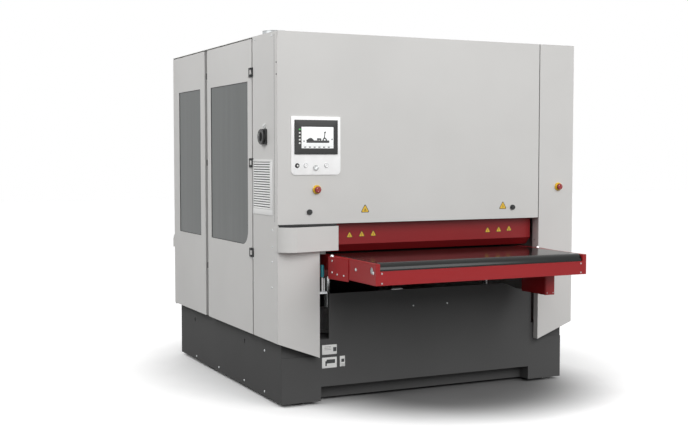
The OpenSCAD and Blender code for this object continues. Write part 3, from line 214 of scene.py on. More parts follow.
def conveyor_rubber(code):
    """Vulcanised rubber belt, ground smooth by the work: semi-gloss, with fine cross weave
    pressed through and dull dusty patches. The 2 mm weave is drawn at 3 mm so that it shows."""
    mat, tree, where, shader, _ = start("Vulcanised rubber, conveyor belt")
    colour = linear(code)
    weave = add(tree, "TexWave", {"Vector": where}, in_Scale=1 / (2 * pi * 3 * MM) * 2,
                in_Distortion=0.6, bands_direction="Y")
    dust = noise(tree, where, 4.0, 5.0, in_Roughness=0.6)
    fit(tree, shader, {
        "Base Color": ramp(tree, dust, shade(colour, 0.8), shade(colour, 1.25), 0.3, 0.75),
        "Roughness": between(tree, dust, 0.09, 0.19),
        "Normal": relief(tree, weave.outputs["Fac"], 0.08, 0.2),
    }, in_Specular_IOR_Level=0.3)
    return mat


def black_rubber(name, code, line_mm):
    """Moulded or ground rubber cover: nearly black, dull, with fine running marks."""
    mat, tree, where, shader, _ = start(name)
    colour = linear(code)
    marks = noise(tree, where, 1 / (line_mm * MM), 4.0)
    fit(tree, shader, {
        "Base Color": ramp(tree, marks, shade(colour, 0.7), shade(colour, 1.3), 0.35, 0.65),
        "Normal": relief(tree, marks, 0.15, 0.2),
    }, in_Roughness=0.62)
    return mat


def abrasive_cloth():
    """Corundum grit electro-coated on cloth: matt red-brown with dense specks.
    Grit of 0.2 mm is drawn at 1.5 mm, or it would vanish."""
    mat, tree, where, shader, _ = start("Corundum grit on cloth, sanding belt")
    grit = add(tree, "TexVoronoi", {"Vector": where}, in_Scale=1 / (1.5 * MM)).outputs["Distance"]
    speck = ramp(tree, grit, linear("#4a2417"), linear("#8a4a30"), 0.1, 0.6)
    cloud = ramp(tree, noise(tree, where, 9.0, 4.0), linear("#5c3020"), linear("#94593c"), 0.0, 1.0)
    # Sockets 6, 7 and 2 of this node are its two colours and their blend, socket 0 the share
    blend = add(tree, "Mix", {6: speck, 7: cloud}, data_type="RGBA")
    blend.inputs[0].default_value = 0.45
    fit(tree, shader, {"Base Color": blend.outputs[2], "Normal": relief(tree, grit, 0.5, 0.3)}, in_Roughness=0.9)
    return mat


def smoked_pane(code):
    """Extruded smoked polycarbonate: grey, barely see-through, with faint upright streaks
    that the extrusion leaves."""
    mat, tree, where, shader, _ = start("Extruded polycarbonate, smoked")
    colour = linear(code)
    drawn_out = add(tree, "Mapping", {"Vector": where}, in_Scale=(1.0, 14.0, 0.7))
    streak = noise(tree, drawn_out.outputs["Vector"], 1.0, 4.0, in_Roughness=0.6)
    fit(tree, shader, {
        "Base Color": ramp(tree, streak, shade(colour, 0.88), shade(colour, 1.08)),
        "Normal": relief(tree, streak, 0.12, 1.0),
    }, in_Roughness=0.3, in_IOR=1.58, in_Specular_IOR_Level=0.25, in_Alpha=0.9)
    return mat


def screen_glass(name, code, glow):
    """Lit display behind an anti-glare film: nearly even colour with a soft sheen."""
    mat, tree, where, shader, _ = start(name)
    colour = linear(code)
    lit = ramp(tree, noise(tree, where, 22.0, 1.0), shade(colour, 0.95), colour)
    fit(tree, shader, {"Base Color": lit, "Emission Color": lit}, in_Emission_Strength=glow, in_Roughness=0.25)
    return mat


def printed_film(name, code):
    """Screen-printed polyester film of a plate or sticker: flat ink with a slight satin."""
    mat, tree, where, shader, _ = start(name)
    colour = linear(code)
    ink = noise(tree, where, 400.0, 2.0)
    fit(tree, shader, {"Base Color": ramp(tree, ink, shade(colour, 0.94), colour)}, in_Roughness=0.42)
    return mat


# Shapes, drawn in millimetres facing +Z and then laid on the machine


def soften(bm, edges, reach, segments=2):
    """Rounds edges off."""
    bmesh.ops.bevel(bm, geom=edges, offset=reach * MM, offset_type="OFFSET", affect="EDGES",
                    segments=segments, profile=0.5, material=-1)


def height(face):
    """Height of a face's middle in its own drawing."""
    return face.calc_center_median().z


def only(geom, kind):
    """The vertices, edges or faces out of what a mesh step gives back."""
    return [g for g in geom if isinstance(g, kind)]


def open_edges(bm):
    return [e for e in bm.edges if e.is_boundary]


def plate(wide, tall, deep, corner=0.0, edge=0.4):
    """A block standing on its back face, with rounded corners and a softened front rim."""
    bm = bmesh.new()
    bmesh.ops.create_cube(bm, size=1.0)
    bmesh.ops.scale(bm, vec=(wide * MM, tall * MM, deep * MM), verts=bm.verts)
    bmesh.ops.translate(bm, vec=(0, 0, deep * MM / 2), verts=bm.verts)
    if corner:
        soften(bm, [e for e in bm.edges if abs(e.verts[0].co.z - e.verts[1].co.z) > SAME], corner, 5)
    if edge:
        soften(bm, list(max(bm.faces, key=height).edges), edge)
    return bm


def turned(profile, steps=40):
    """A body of revolution about Z from its outline, given as (radius, height)."""
    bm = bmesh.new()
    points = [bm.verts.new((r * MM, 0, z * MM)) for r, z in profile]
    lines = [bm.edges.new(pair) for pair in zip(points, points[1:])]
    bmesh.ops.spin(bm, geom=points + lines, cent=(0, 0, 0), axis=(0, 0, 1), angle=2 * pi,
                   steps=steps, use_merge=True)
    bmesh.ops.remove_doubles(bm, verts=bm.verts, dist=SAME)
    return bm


def drawn(outline, depth, edge=0.0):
    """A flat outline in X and Y, pulled up to a depth."""
    bm = bmesh.new()
    face = bm.faces.new([bm.verts.new((x * MM, y * MM, 0)) for x, y in outline])
    top = bmesh.ops.extrude_face_region(bm, geom=[face])["geom"]
    bmesh.ops.translate(bm, vec=(0, 0, depth * MM), verts=only(top, BMVert))
    if edge:
        soften(bm, list(only(top, BMFace)[0].edges), edge)
    return bm


def rounded(corners, steps=6):
    """An outline with each corner (x, y, radius) rounded."""
    out = []
    for i, (x, y, r) in enumerate(corners):
        if r <= 0:
            out.append((x, y))
            continue
        here = Vector((x, y))
        before = (Vector(corners[i - 1][:2]) - here).normalized()
        after = (Vector(corners[(i + 1) % len(corners)][:2]) - here).normalized()
        half = before.angle(after) / 2
        reach = r / max(0.05, abs(sin(half) / cos(half)))
        middle = here + (before + after).normalized() * (r / sin(half))
        a, b = here + before * reach - middle, here + after * reach - middle
        for k in range(steps + 1):
            p = middle + Matrix.Rotation(-a.angle_signed(b) * k / steps, 2) @ a
            out.append((p.x, p.y))
    return out


def button_head(radius, tall, hexagon):
    """A domed screw head with a hexagon socket."""
    bm = turned([(radius, 0), (radius, tall * 0.25), (radius * 0.86, tall * 0.68), (radius * 0.62, tall)], 24)
    top = [e for e in open_edges(bm) if e.verts[0].co.z > tall * MM * 0.9]
    rim = bmesh.ops.create_circle(bm, cap_ends=True, segments=6, radius=hexagon * MM)["verts"]
    bmesh.ops.translate(bm, vec=(0, 0, tall * MM), verts=rim)
    socket = next(f for f in bm.faces if set(f.verts) == set(rim))
    six = list(socket.edges)
    floor = bmesh.ops.extrude_discrete_faces(bm, faces=[socket])["faces"][0]
    bmesh.ops.translate(bm, vec=(0, 0, -tall * MM * 0.55), verts=floor.verts)
    bmesh.ops.bridge_loops(bm, edges=top + six)
    bmesh.ops.bridge_loops(bm, edges=six + list(floor.edges))
    return bm


def heads(places, radius, tall, hexagon):
    """The same screw head at each of several places."""
    return [(button_head(radius, tall, hexagon), place) for place in places]


def around(count, radius, first=0.0):
    """Offsets and angles of equal steps round a circle."""
    for k in range(count):
        a = 2 * pi * k / count + first
        yield radius * cos(a), radius * sin(a), a


def lay(into, part, place):
    """Moves a shape to its place and adds it to a piece."""
    part.transform(place)
    bmesh.ops.remove_doubles(part, verts=part.verts, dist=SAME)
    bmesh.ops.recalc_face_normals(part, faces=part.faces)
    mesh = bpy.data.meshes.new("part")
    part.to_mesh(mesh)
    part.free()
    into.from_mesh(mesh)
    bpy.data.meshes.remove(mesh)


def piece(name, parts, coat, body, replaces=(), crease=32):
    """Makes one object of the machine, riding on its body, from shapes given with their places."""
    bm = bmesh.new()
    for shape, place in parts:
        lay(bm, shape, place)
    mesh = bpy.data.meshes.new(name)
    bm.to_mesh(mesh)
    bm.free()
    mesh.materials.append(shop_materials()[coat])
    mesh.shade_smooth()
    mesh.set_sharp_from_angle(angle=radians(crease))
    obj = bpy.data.objects.new(name, mesh)
    bpy.context.scene.collection.objects.link(obj)
    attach(obj, body)
    if replaces:
        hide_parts(*replaces)


class Span:
    """Box of a construction node in millimetres, with y counted from the plane of the front cover."""

    def __init__(self, node):
        low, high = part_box(node)
        self.x0, self.x1 = low.x / MM, high.x / MM
        self.y0, self.y1 = (low.y + MID_Y) / MM, (high.y + MID_Y) / MM
        self.z0, self.z1 = low.z / MM, high.z / MM
        self.x, self.y, self.z = (self.x0 + self.x1) / 2, (self.y0 + self.y1) / 2, (self.z0 + self.z1) / 2
        self.wide, self.deep, self.tall = self.x1 - self.x0, self.y1 - self.y0, self.z1 - self.z0


# Sizes and colours that a user would change


def tone(name, description, code):
    return bpy.props.StringProperty(name=name, description=description, default=code)


def length(name, description, mm):
    return bpy.props.FloatProperty(name=name, description=description, default=mm * MM,
                                   unit="LENGTH", subtype="DISTANCE")


class SanderFinish(bpy.types.PropertyGroup):
    """Colours of the machine, as sRGB hex."""

    housing: tone("Housing", "Powder coat of the panels, doors and front cover", "#cfcecc")
    side: tone("Frame", "Grey enamel of the frame behind the panels", "#a9aaa9")
    base: tone("Base", "Charcoal enamel of the base", "#575757")
    red: tone("Table red", "Powder coat of the table frame", "#96151a")
    guard: tone("Bar red", "Powder coat of the safety bar", "#8c1b1f")
    belt: tone("Conveyor", "Rubber of the conveyor belt", "#151716")
    pane: tone("Panes", "Smoked polycarbonate of the door windows", "#5a5e5d")
    screen: tone("Screen", "Lit background of the display", "#eef0f0")


class SanderFittings(bpy.types.PropertyGroup):
    """Sizes of the small fittings."""

    louvre_pitch: length("Louvre pitch", "Distance from one louvre to the next", 15.4)
    louvre_depth: length("Louvre depth", "How far each louvre opens", 7.0)
    screw_radius: length("Screw head", "Radius of a panel screw's head", 6.0)
    triangle: length("Cover triangle", "Side of a triangle on the front cover", 62.0)
    bar_triangle: length("Bar triangle", "Side of a triangle on the safety bar", 46.0)
    plate_thickness: length("Plates", "Thickness of a plate or sticker", 0.8)


def finish():
    return bpy.context.scene.sander_finish


def fittings():
    return bpy.context.scene.sander_fittings


PALETTE = {}


def shop_materials():
    """Every finish of the machine, made once."""
    if PALETTE:
        return PALETTE
    look = finish()
    PALETTE.update(
        housing=powder_coat("Powder-coated sheet steel, light grey", look.housing, 0.46, 2.5, 0.10),
        frame=powder_coat("Enamelled steel section, grey", look.side, 0.5, 3.0, 0.15),
        base=powder_coat("Enamelled steel sheet, charcoal", look.base, 0.6, 3.0, 0.18, 0.9, 0.03),
        table=powder_coat("Powder-coated steel plate, red", look.red, 0.36, 2.0, 0.10, 0.92),
        guard=powder_coat("Powder-coated sheet steel, deep red", look.guard, 0.4, 2.0, 0.10, 0.9),
        bright=powder_coat("Powder-coated sheet steel, white panel", "#e9e9e8", 0.4, 2.0, 0.06),
        motor=powder_coat("Hammered machine enamel, blue-grey", "#5c6a72", 0.45, 6.0, 0.5),
        black_metal=powder_coat("Blackened steel, hinges", "#17181a", 0.42, 1.5, 0.1),
        abs=moulded("Moulded black ABS", "#161718", 0.38),
        handle=moulded("Moulded grey polyamide", "#c9c9c6", 0.42),
        white=moulded("Moulded white polyester panel", "#fdfdfd", 0.3),
        clear=moulded("Moulded pale polycarbonate", "#d9dbda", 0.2, 0.3),
        yellow=moulded("Moulded yellow polyamide", "#e3b622", 0.36),
        red_cap=moulded("Moulded red polyamide", "#8e1016", 0.36, 0.1),
        teal=moulded("Anodised teal sleeve of the sensor", "#16808c", 0.35),
        device=moulded("Moulded grey housings of the electrical devices", "#8f9492", 0.5),
        bezel=moulded("Moulded black bezel of the display", "#0d0e0e", 0.5),
        print_dark=printed_film("Dark ink on polyester film", "#2d2f30"),
        print_grey=printed_film("Grey ink on polyester film", "#8a8d8e"),
        print_yellow=printed_film("Yellow ink on vinyl", "#e0b52c"),
        print_border=printed_film("Dark ink on vinyl", "#3c3516"),
        print_white=printed_film("White polyester plate", "#e6e6e4"),
        screen=screen_glass("Lit display, white field", look.screen, 0.25),
        screen_green=screen_glass("Lit display, green mark", "#3fae49", 0.3),
        steel=bare_metal("Ground steel, rollers", "#a9abac", 0.28, "x", 0.8),
        turned_steel=bare_metal("Turned steel, spindles", "#b4b6b6", 0.26, "z", 0.6),
        zinc=bare_metal("Zinc-plated steel, bolts and ducts", "#bfc2c3", 0.36, "z", 2.5),
        chrome=bare_metal("Polished chrome, caps", "#d8dadb", 0.1, "z", 4.0, 0.02),
        belt=conveyor_rubber(look.belt),
        roller=black_rubber("Ground nitrile rubber, contact rollers", "#2a2b2c", 1.5),
        vbelt=black_rubber("Wrapped rubber, drive belts", "#1b1c1d", 2.0),
        abrasive=abrasive_cloth(),
        pane=smoked_pane(look.pane),
    )
    return PALETTE


# Nodes of the construction under each finish
COATS = {
    "housing": ("column_covers", "side_panels", "roof_rear_panels", "front_cover", "front_door",
                "rear_door", "service_box"),
    "frame": ("upper_frame", "unit_beams", "pressure_beams", "jack_housings"),
    "base": ("base_frame", "base_apron"),
    "table": ("table_frame", "table_covers"),
    "guard": ("safety_bar",),
    "black_metal": ("hinge_fittings",),
    "abs": ("main_switch_body", "main_switch_knob", "lock_left", "lock_right", "levelling_feet"),
    "device": ("electrical_plate",),
    "motor": ("main_motors", "feed_gearmotor"),
    "zinc": ("extraction_ducts", "bed_plate", "panel_screws"),
    "steel": ("nose_roller", "drive_roller", "tension_roller_front", "tension_roller_rear",
              "motor_pulley_front", "motor_pulley_rear"),
    "turned_steel": ("lift_spindles",),
    "roller": ("contact_roller_front", "contact_roller_rear", "pressure_roller_front",
               "pressure_roller_middle", "pressure_roller_rear"),
    "vbelt": ("v_belts",),
    "abrasive": ("abrasive_belts",),
    "belt": ("conveyor_belt",),
    "pane": ("front_door_pane", "rear_door_pane"),
    "yellow": ("estop_collar_column", "estop_collar_cover"),
    "red_cap": ("estop_head_column", "estop_head_cover"),
    "white": ("hmi_plate", "start_button", "reset_button", "feed_button"),
    "bezel": ("hmi_display",),
    "chrome": ("selector_knob",),
    "teal": ("height_sensor",),
    "bright": ("vent_grille", "tension_yoke_front", "tension_yoke_rear"),
}


# One operator for each group of pieces


class SANDER_OT_coats(bpy.types.Operator):
    """Gives every construction node its finish"""

    bl_idname = "sander.coats"
    bl_label = "Coats"

    def execute(self, context):
        for coat, nodes in COATS.items():
            for node in nodes:
                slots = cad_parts[node].data.materials
                slots.clear()
                slots.append(shop_materials()[coat])
        return {"FINISHED"}


class SANDER_OT_louvres(bpy.types.Operator):
    """Sheet grille of the cabinet with its rows of tilted louvres"""

    bl_idname = "sander.louvres"
    bl_label = "Louvre grille"

    def execute(self, context):
        g = Span("vent_grille")
        # Four strips round the window for the louvres, with wider margins in front and below
        w0, w1, h0, h1 = g.y0 + 44, g.y1 - 4.5, g.z0 + 35, g.z1 - 13
        strips = ((g.y0, g.y1, h1, g.z1), (g.y0, g.y1, g.z0, h0), (g.y0, w0, h0, h1), (w1, g.y1, h0, h1))
        parts = [
            (plate(a1 - a0, b1 - b0, g.wide, 0, 0.8), left(g.x1, (a0 + a1) / 2, (b0 + b1) / 2))
            for a0, a1, b0, b1 in strips
        ]
        # Louvres: each a pressed lip, thrown out at its lower edge
        rows = round((h1 - h0) / (fittings().louvre_pitch / MM))
        pitch = (h1 - h0) / rows
        out = fittings().louvre_depth / MM
        lip = rounded([(0, 0, 0), (0, pitch * 0.62, 0), (-1.5, pitch * 0.62, 0), (-out, 2.2, 1.2), (-out, 0, 0)], 3)
        across = Matrix(((0, 0, 1, 0), (0, 1, 0, 0), (-1, 0, 0, 0), (0, 0, 0, 1)))
        for i in range(rows):
            place = left(g.x1, w1, h0 + pitch * (i + 0.12)) @ across
            parts.append((drawn(lip, w1 - w0), off(place, out - g.wide)))
        piece("louvre_grille", parts, "bright", "machine", ("vent_grille",))
        back = plate(w1 - w0 + 4, h1 - h0 + 4, 1.0, 0, 0.2)
        piece("grille_filter", [(back, left(g.x1 + 3.5, (w0 + w1) / 2, (h0 + h1) / 2))], "roller", "machine")
        return {"FINISHED"}


# Front of the operator panel's plate, depth and front of the bezel on it, and how far the screen lies behind that
PLATE_FACE = -6
BEZEL_DEPTH = 6.0
BEZEL_FACE = PLATE_FACE - BEZEL_DEPTH
SCREEN_DROP = 1.6


class SANDER_OT_operator_panel(bpy.types.Operator):
    """Operator panel: plate, bezel, lit screen with a plain diagram, rings of the buttons"""

    bl_idname = "sander.operator_panel"
    bl_label = "Operator panel"

    def execute(self, context):
        sheet, bezel = Span("hmi_plate"), Span("hmi_display")
        x0, x1 = bezel.x0 + 0.155 * bezel.wide, bezel.x0 + 0.9 * bezel.wide
        z0, z1 = bezel.z1 - 0.825 * bezel.tall, bezel.z1 - 0.2 * bezel.tall
        # Bezel: moulded frame with a softened rim round the sunk screen
        bm = plate(bezel.wide, bezel.tall, BEZEL_DEPTH, 3.0, 1.0)
        face = max(bm.faces, key=lambda f: (round(height(f), 7), f.calc_area()))
        bmesh.ops.inset_region(bm, faces=[face], thickness=14 * MM, use_even_offset=True)
        rim = list(face.verts)
        for v in rim:
            v.co.x = ((x1 if v.co.x > 0 else x0) - bezel.x) * MM
            v.co.y = ((z1 if v.co.y > 0 else z0) - bezel.z) * MM
        bmesh.ops.delete(bm, geom=[face], context="FACES_ONLY")
        bmesh.ops.remove_doubles(bm, verts=rim, dist=SAME)
        sunk = bmesh.ops.extrude_edge_only(bm, edges=open_edges(bm))["geom"]
        bmesh.ops.translate(bm, vec=(0, 0, -SCREEN_DROP * MM), verts=only(sunk, BMVert))
        bmesh.ops.holes_fill(bm, edges=open_edges(bm), sides=0)
        piece("display_bezel", [(bm, front(bezel.x, PLATE_FACE, bezel.z))], "bezel", "cover",
              ("hmi_display",))

        mid, line = (x0 + x1) / 2, z0 + 0.36 * (z1 - z0)
        depth = BEZEL_FACE + SCREEN_DROP
        screen = plate(x1 - x0 - 0.6, z1 - z0 - 0.6, 0.5, 0, 0.1)
        piece("screen", [(screen, front(mid, depth, (z0 + z1) / 2))], "screen", "cover")

        def ink(x, z):
            return front(x, depth - 0.5, z)

        # Plain diagram on the screen: a bed, three wheels, a hood and a lever
        dark = [(plate(150, 15, 0.3, 2, 0), ink(mid + 2, line - 6))]
        for x, r in ((mid - 44, 12), (mid + 10, 11), (mid + 47, 14)):
            wheel = turned([(r * 0.45, 0), (r, 0), (r, 0.5), (r * 0.45, 0.5), (r * 0.45, 0)], 24)
            dark.append((wheel, ink(x, line + 4)))
        dark += [
            (drawn([(-34, 0), (-10, 15), (6, 15), (22, 0)], 0.3), ink(mid - 44, line)),
            (plate(30, 10, 0.3, 4, 0), ink(mid + 10, line + 9)),
            (drawn([(-3, 0), (3, 0), (7, 34), (1, 34)], 0.3), ink(mid + 44, line + 14)),
            (plate(12, 8, 0.3, 1, 0), ink(mid + 49, line + 50)),
        ]
        grey = [(plate(1.2, 26, 0.3, 0, 0), ink(mid - 50 + 34 * k, z1 - 20)) for k in range(4)]
        grey.append((plate(196, 1.2, 0.3, 0, 0), ink(mid, z0 + 14)))
        grey += [(plate(14, 7, 0.3, 1, 0), ink(x0 + 24 + 31 * k, z0 + 7)) for k in range(6)]
        grey += [(plate(9, 9, 0.3, 2, 0), ink(x, z)) for x, z in ((x0 + 16, line - 4), (x1 - 10, line + 8))]
        piece("screen_diagram", dark, "print_dark", "cover")
        piece("screen_marks", grey, "print_grey", "cover")

        # Column of soft keys beside the screen
        keys = [(plate(11, 9, 0.5, 2.5, 0.2), front(x0 - 12, BEZEL_FACE, z1 - 16 - k * 20.5)) for k in range(5)]
        piece("soft_keys", keys[1:], "print_white", "cover")
        piece("soft_key_first", keys[:1], "screen_green", "cover")

        # Plate under the bezel with its rounded lower corners and a fine rim
        outline = rounded([(sheet.x0, sheet.z0, 26), (sheet.x1, sheet.z0, 26),
                           (sheet.x1, sheet.z1, 5), (sheet.x0, sheet.z1, 5)], 8)
        piece("panel_plate", [(drawn(outline, 6.0, 1.2), front(0, 0, 0))], "white", "cover",
              ("hmi_plate",))

        # Caps, marks and rings of the push buttons: coat and slot of the cap, width, turn and ink of the mark
        for node, coat, slot, wide, turn, mark_ink, ring_coat in (
            ("start_button", "abs", "black_plastic", 9, 45, "print_white", "abs"),
            ("reset_button", "white", "white_plastic", 2, 0, "print_grey", "turned_steel"),
            ("feed_button", "white", "white_plastic", 2, 0, "print_grey", "turned_steel"),
        ):
            b = Span(node)
            r, reach = b.wide / 2, -b.y0
            name = node.replace("_button", "_cap")
            cap = turned([(0, reach - 8), (r, reach - 8), (r, reach - 0.9), (r - 0.9, reach),
                          (r * 0.8, reach - 0.5), (0, reach - 0.5)], 36)
            piece(name, [(cap, front(b.x, 0, b.z))], coat, node, (node,))
            mark = plate(wide, 9, 0.5, 0.5, 0.1)
            piece(name + "_mark", [(mark, front(b.x, -(reach - 0.6), b.z, radians(turn)))], mark_ink, node)
            ring = turned([(r + 0.4, 0), (r + 3.4, 0), (r + 3.4, 1.4), (r + 2.6, 2.2), (r + 0.4, 2.2), (r + 0.4, 0)])
            piece(name + "_ring", [(ring, front(b.x, PLATE_FACE, b.z))], ring_coat, "cover")

        # Selector: knurled skirt, grip bar with a dark line
        s = Span("selector_knob")
        r, reach, lean = s.wide / 2, -s.y0, radians(35)
        knob = [
            (turned([(0, 6.4), (r * 0.94, 6.4), (r, 7.2), (r, 12), (r * 0.88, 14), (0, 14)]), front(s.x, 0, s.z)),
            (plate(r * 1.7, r * 0.42, reach - 13, 2.4, 1.2), front(s.x, -13, s.z, lean)),
        ]
        for dx, dz, a in around(24, r * 0.97):
            knob.append((plate(1.6, 1.6, 5.4, 0, 0.4), front(s.x + dx, -7, s.z + dz, a)))
        piece("selector_grip", knob, "turned_steel", "selector_knob", ("selector_knob",))
        place = front(s.x + r * 0.4 * cos(lean), -reach, s.z + r * 0.4 * sin(lean), lean)
        piece("selector_pointer", [(plate(r * 0.8, 1.4, 0.4, 0.3, 0.1), place)], "print_dark", "selector_knob")
        return {"FINISHED"}


class SANDER_OT_stops(bpy.types.Operator):
    """Emergency stops: stepped yellow collars and domed red heads with a finger hollow"""

    bl_idname = "sander.stops"
    bl_label = "Emergency stops"

    def execute(self, context):
        for side, body in (("cover", "cover"), ("column", "machine")):
            collar_node, head_node = "estop_collar_" + side, "estop_head_" + side
            collar, head = Span(collar_node), Span(head_node)
            r, top = collar.wide / 2, -collar.y0
            hr, reach = head.wide / 2, -head.y0
            place = front(collar.x, 0, collar.z)
            shape = turned([(11, 0), (r, 0), (r, top * 0.55), (r * 0.96, top * 0.7), (r * 0.82, top),
                            (11, top), (11, 0)], 48)
            piece("stop_collar_" + side, [(shape, place)], "yellow", body, (collar_node,))
            shape = turned([(0, top - 10), (9.5, top - 10), (9.5, reach - 11), (hr * 0.93, reach - 11),
                            (hr, reach - 9.6), (hr, reach - 5.5), (hr * 0.95, reach - 2.8),
                            (hr * 0.82, reach - 0.8), (hr * 0.62, reach), (hr * 0.45, reach - 0.3),
                            (hr * 0.2, reach - 1.0), (0, reach - 1.2)], 48)
            piece("stop_head_" + side, [(shape, place)], "red_cap", head_node, (head_node,), 40)
            arrows = [
                (plate(5.5, 1.4, 0.4, 0.3, 0.1), front(collar.x + dx, -reach + 0.05, collar.z + dz, a + pi / 2))
                for dx, dz, a in around(3, hr * 0.56, 0.4)
            ]
            piece("stop_marks_" + side, arrows, "print_white", head_node)
        return {"FINISHED"}


class SANDER_OT_switch(bpy.types.Operator):
    """Main switch: square body with rounded corners, ring and grip, and the pale tag above it"""

    bl_idname = "sander.switch"
    bl_label = "Main switch"

    def execute(self, context):
        box, knob = Span("main_switch_body"), Span("main_switch_knob")
        y, z, w, deep, back = box.y, box.z, box.deep, box.wide, box.x1
        r, reach = knob.deep / 2, back - knob.x0
        face = back - deep
        collar = turned([(r + 1.5, 0), (w * 0.49, 0), (w * 0.49, 11), (w * 0.46, 14), (r + 3, 14),
                         (r + 1.5, 12.5), (r + 1.5, 0)], 56)
        body = [
            (plate(w, w, deep - 3, 9, 1.2), left(back, y, z)),
            (turned([(0, 0), (w * 0.44, 0), (w * 0.44, 2.2), (w * 0.41, 3), (0, 3)], 48), left(face + 3, y, z)),
        ]
        for dy in (-w * 0.42, w * 0.42):
            for dz in (-w * 0.42, w * 0.42):
                body.append((turned([(0, 0), (4.2, 0), (4.2, 1.2), (2.2, 1.2), (1.8, 0.4), (0, 0.4)], 16),
                             left(face + 3.2, y + dy, z + dz)))
        body.append((collar, left(face + 0.5, y, z)))
        piece("switch_body", body, "abs", "machine", ("main_switch_body",))
        seat = turned([(0, deep + 0.4), (r, deep + 0.4), (r, deep + 6), (r * 0.9, deep + 7.5), (0, deep + 7.5)], 48)
        grip = rounded([(-r * 0.3, -r * 0.98, 5), (r * 0.3, -r * 0.98, 5),
                        (r * 0.24, r * 0.98, 4), (-r * 0.24, r * 0.98, 4)], 5)
        piece("switch_grip", [(seat, left(back, y, z)), (drawn(grip, reach - deep - 7, 2.0), left(face - 7, y, z))],
              "abs", "main_switch_knob", ("main_switch_knob",))
        piece("switch_pointer", [(plate(1.8, r * 0.7, 0.4, 0.4, 0.1), left(back - reach, y, z + r * 0.5))],
              "print_white", "main_switch_knob")
        ty, tz = y - 8, z + w / 2 + 16
        piece("switch_tag", [
            (plate(30, 28, 9, 4, 1.0), left(back, ty, tz)),
            (turned([(0, 0), (7, 0), (7, 2), (6, 3), (0, 3)], 24), left(back - 9, ty, tz)),
        ], "clear", "machine")
        return {"FINISHED"}


LOCK_RADIUS = 16.5


class SANDER_OT_locks(bpy.types.Operator):
    """Quarter-turn locks of the front cover: collar, head and slot bar"""

    bl_idname = "sander.locks"
    bl_label = "Cover locks"

    def execute(self, context):
        r = LOCK_RADIUS
        for side in ("left", "right"):
            box = Span("lock_" + side)
            x, reach = box.x0 + r, -box.y0
            head = turned([(0, 0.4), (r, 0.4), (r, reach * 0.34), (r * 0.9, reach * 0.56),
                           (r * 0.52, reach * 0.56), (r * 0.5, reach * 0.3), (0, reach * 0.3)])
            bar = plate(r * 0.92, r * 0.3, reach * 0.5, 1.5, 0.6)
            piece("lock_head_" + side, [
                (head, front(x, 0, box.z)), (bar, front(x, -reach * 0.28, box.z, radians(90))),
            ], "abs", "lock_" + side)
        return {"FINISHED"}


class SANDER_OT_screws(bpy.types.Operator):
    """Domed socket screws of the panels, the base and the cover's left edge"""

    bl_idname = "sander.screws"
    bl_label = "Panel screws"

    def execute(self, context):
        r = fittings().screw_radius / MM
        panels, rear = Span("side_panels"), Span("roof_rear_panels")
        base, apron = Span("base_frame"), Span("base_apron")
        places = [left(panels.x0, y, z) for y, z in (
            (364, 2243), (86, 2243), (85, 1084), (86, 981), (87, 890), (89, 735), (398, 888), (398, 735))]
        piece("panel_bolts", heads(places, r, 3.6, r * 0.42), "zinc", "machine", ("panel_screws",))
        places = []
        for y, z in ((333, 310), (336, 50), (699, 53), (1207, 50), (1708, 46)):
            places += [left(base.x0, y, z), at(-base.x0, y, z, FACE_RIGHT)]
        parts = heads(places, r * 1.3, 4.5, r * 0.5)
        parts += heads([front(x, apron.y0, z) for x, z in ((-121, 574), (129, 575))], r * 0.9, 3.6, r * 0.4)
        piece("base_bolts", parts, "zinc", "machine")
        places = [left(panels.x0 - 0.2, 12, z) for z in (2080, 2010)]
        piece("cover_pins", heads(places, r * 0.8, 2.6, r * 0.34), "black_metal", "cover")
        # The right side, the rear and the roof, as the left side
        places = [at(panels.x1, y, z, FACE_RIGHT)
                  for y in (86, 560, 1040, 1520, 2004) for z in (2243, 1690, 1130, 560, 440)]
        places += [at(x, rear.y1, z, FACE_BACK) for x in (-980, -520, 0, 520, 1040) for z in (2243, 1740, 1180)]
        places += [at(x, y, rear.z1) for x in (-1040, -520, 0, 520, 1040) for y in (70, 1060, 2050)]
        piece("far_bolts", heads(places, r, 3.6, r * 0.42), "zinc", "machine")
        return {"FINISHED"}


# Height of an equal-sided triangle with sides of one
RISE = 0.866
# Width, height and level of a mark's bar, radius and level of its dot, as shares of the sign's side,
# then the corner of the bar in millimetres and the steps of the dot
MARKS = {"bar": (0.3, 0.06, -0.12, 0.07, 0.03, 0.3, 16), "dot": (0.07, 0.24, 0.06, 0.045, -0.15, 0.4, 12)}
# How high the borders, the yellow fields and the marks of the signs stand
BORDER_DEPTH, FIELD_DEPTH, MARK_DEPTH = 0.4, 0.75, 0.9
BOLT = ((-0.02, -0.15), (0.02, -0.15), (0.07, 0.03), (0.0, 0.02), (0.03, 0.2), (-0.06, -0.01), (0.01, 0.0))


def triangle(side, share, deep):
    """A triangle with rounded corners about the middle of its sign."""
    s, low = side * share, -side * RISE / 3 * share
    corners = [(-s / 2, low, s * 0.09), (s / 2, low, s * 0.09), (0, low + s * RISE, s * 0.09)]
    return drawn(rounded(corners, 4), deep)


def sign_mark(side, place, kind):
    """The plain dark mark of a sign, as shapes with their places."""
    if kind == "bolt":
        return [(drawn([(x * side, y * side) for x, y in BOLT], MARK_DEPTH), place)]
    wide, tall, bar_y, radius, dot_y, corner, steps = MARKS[kind]
    dot = turned([(0, 0), (side * radius, 0), (side * radius, MARK_DEPTH), (0, MARK_DEPTH)], steps)
    return [(plate(side * wide, side * tall, MARK_DEPTH, corner, 0), off(place, 0, side * bar_y)),
            (dot, off(place, 0, side * dot_y))]


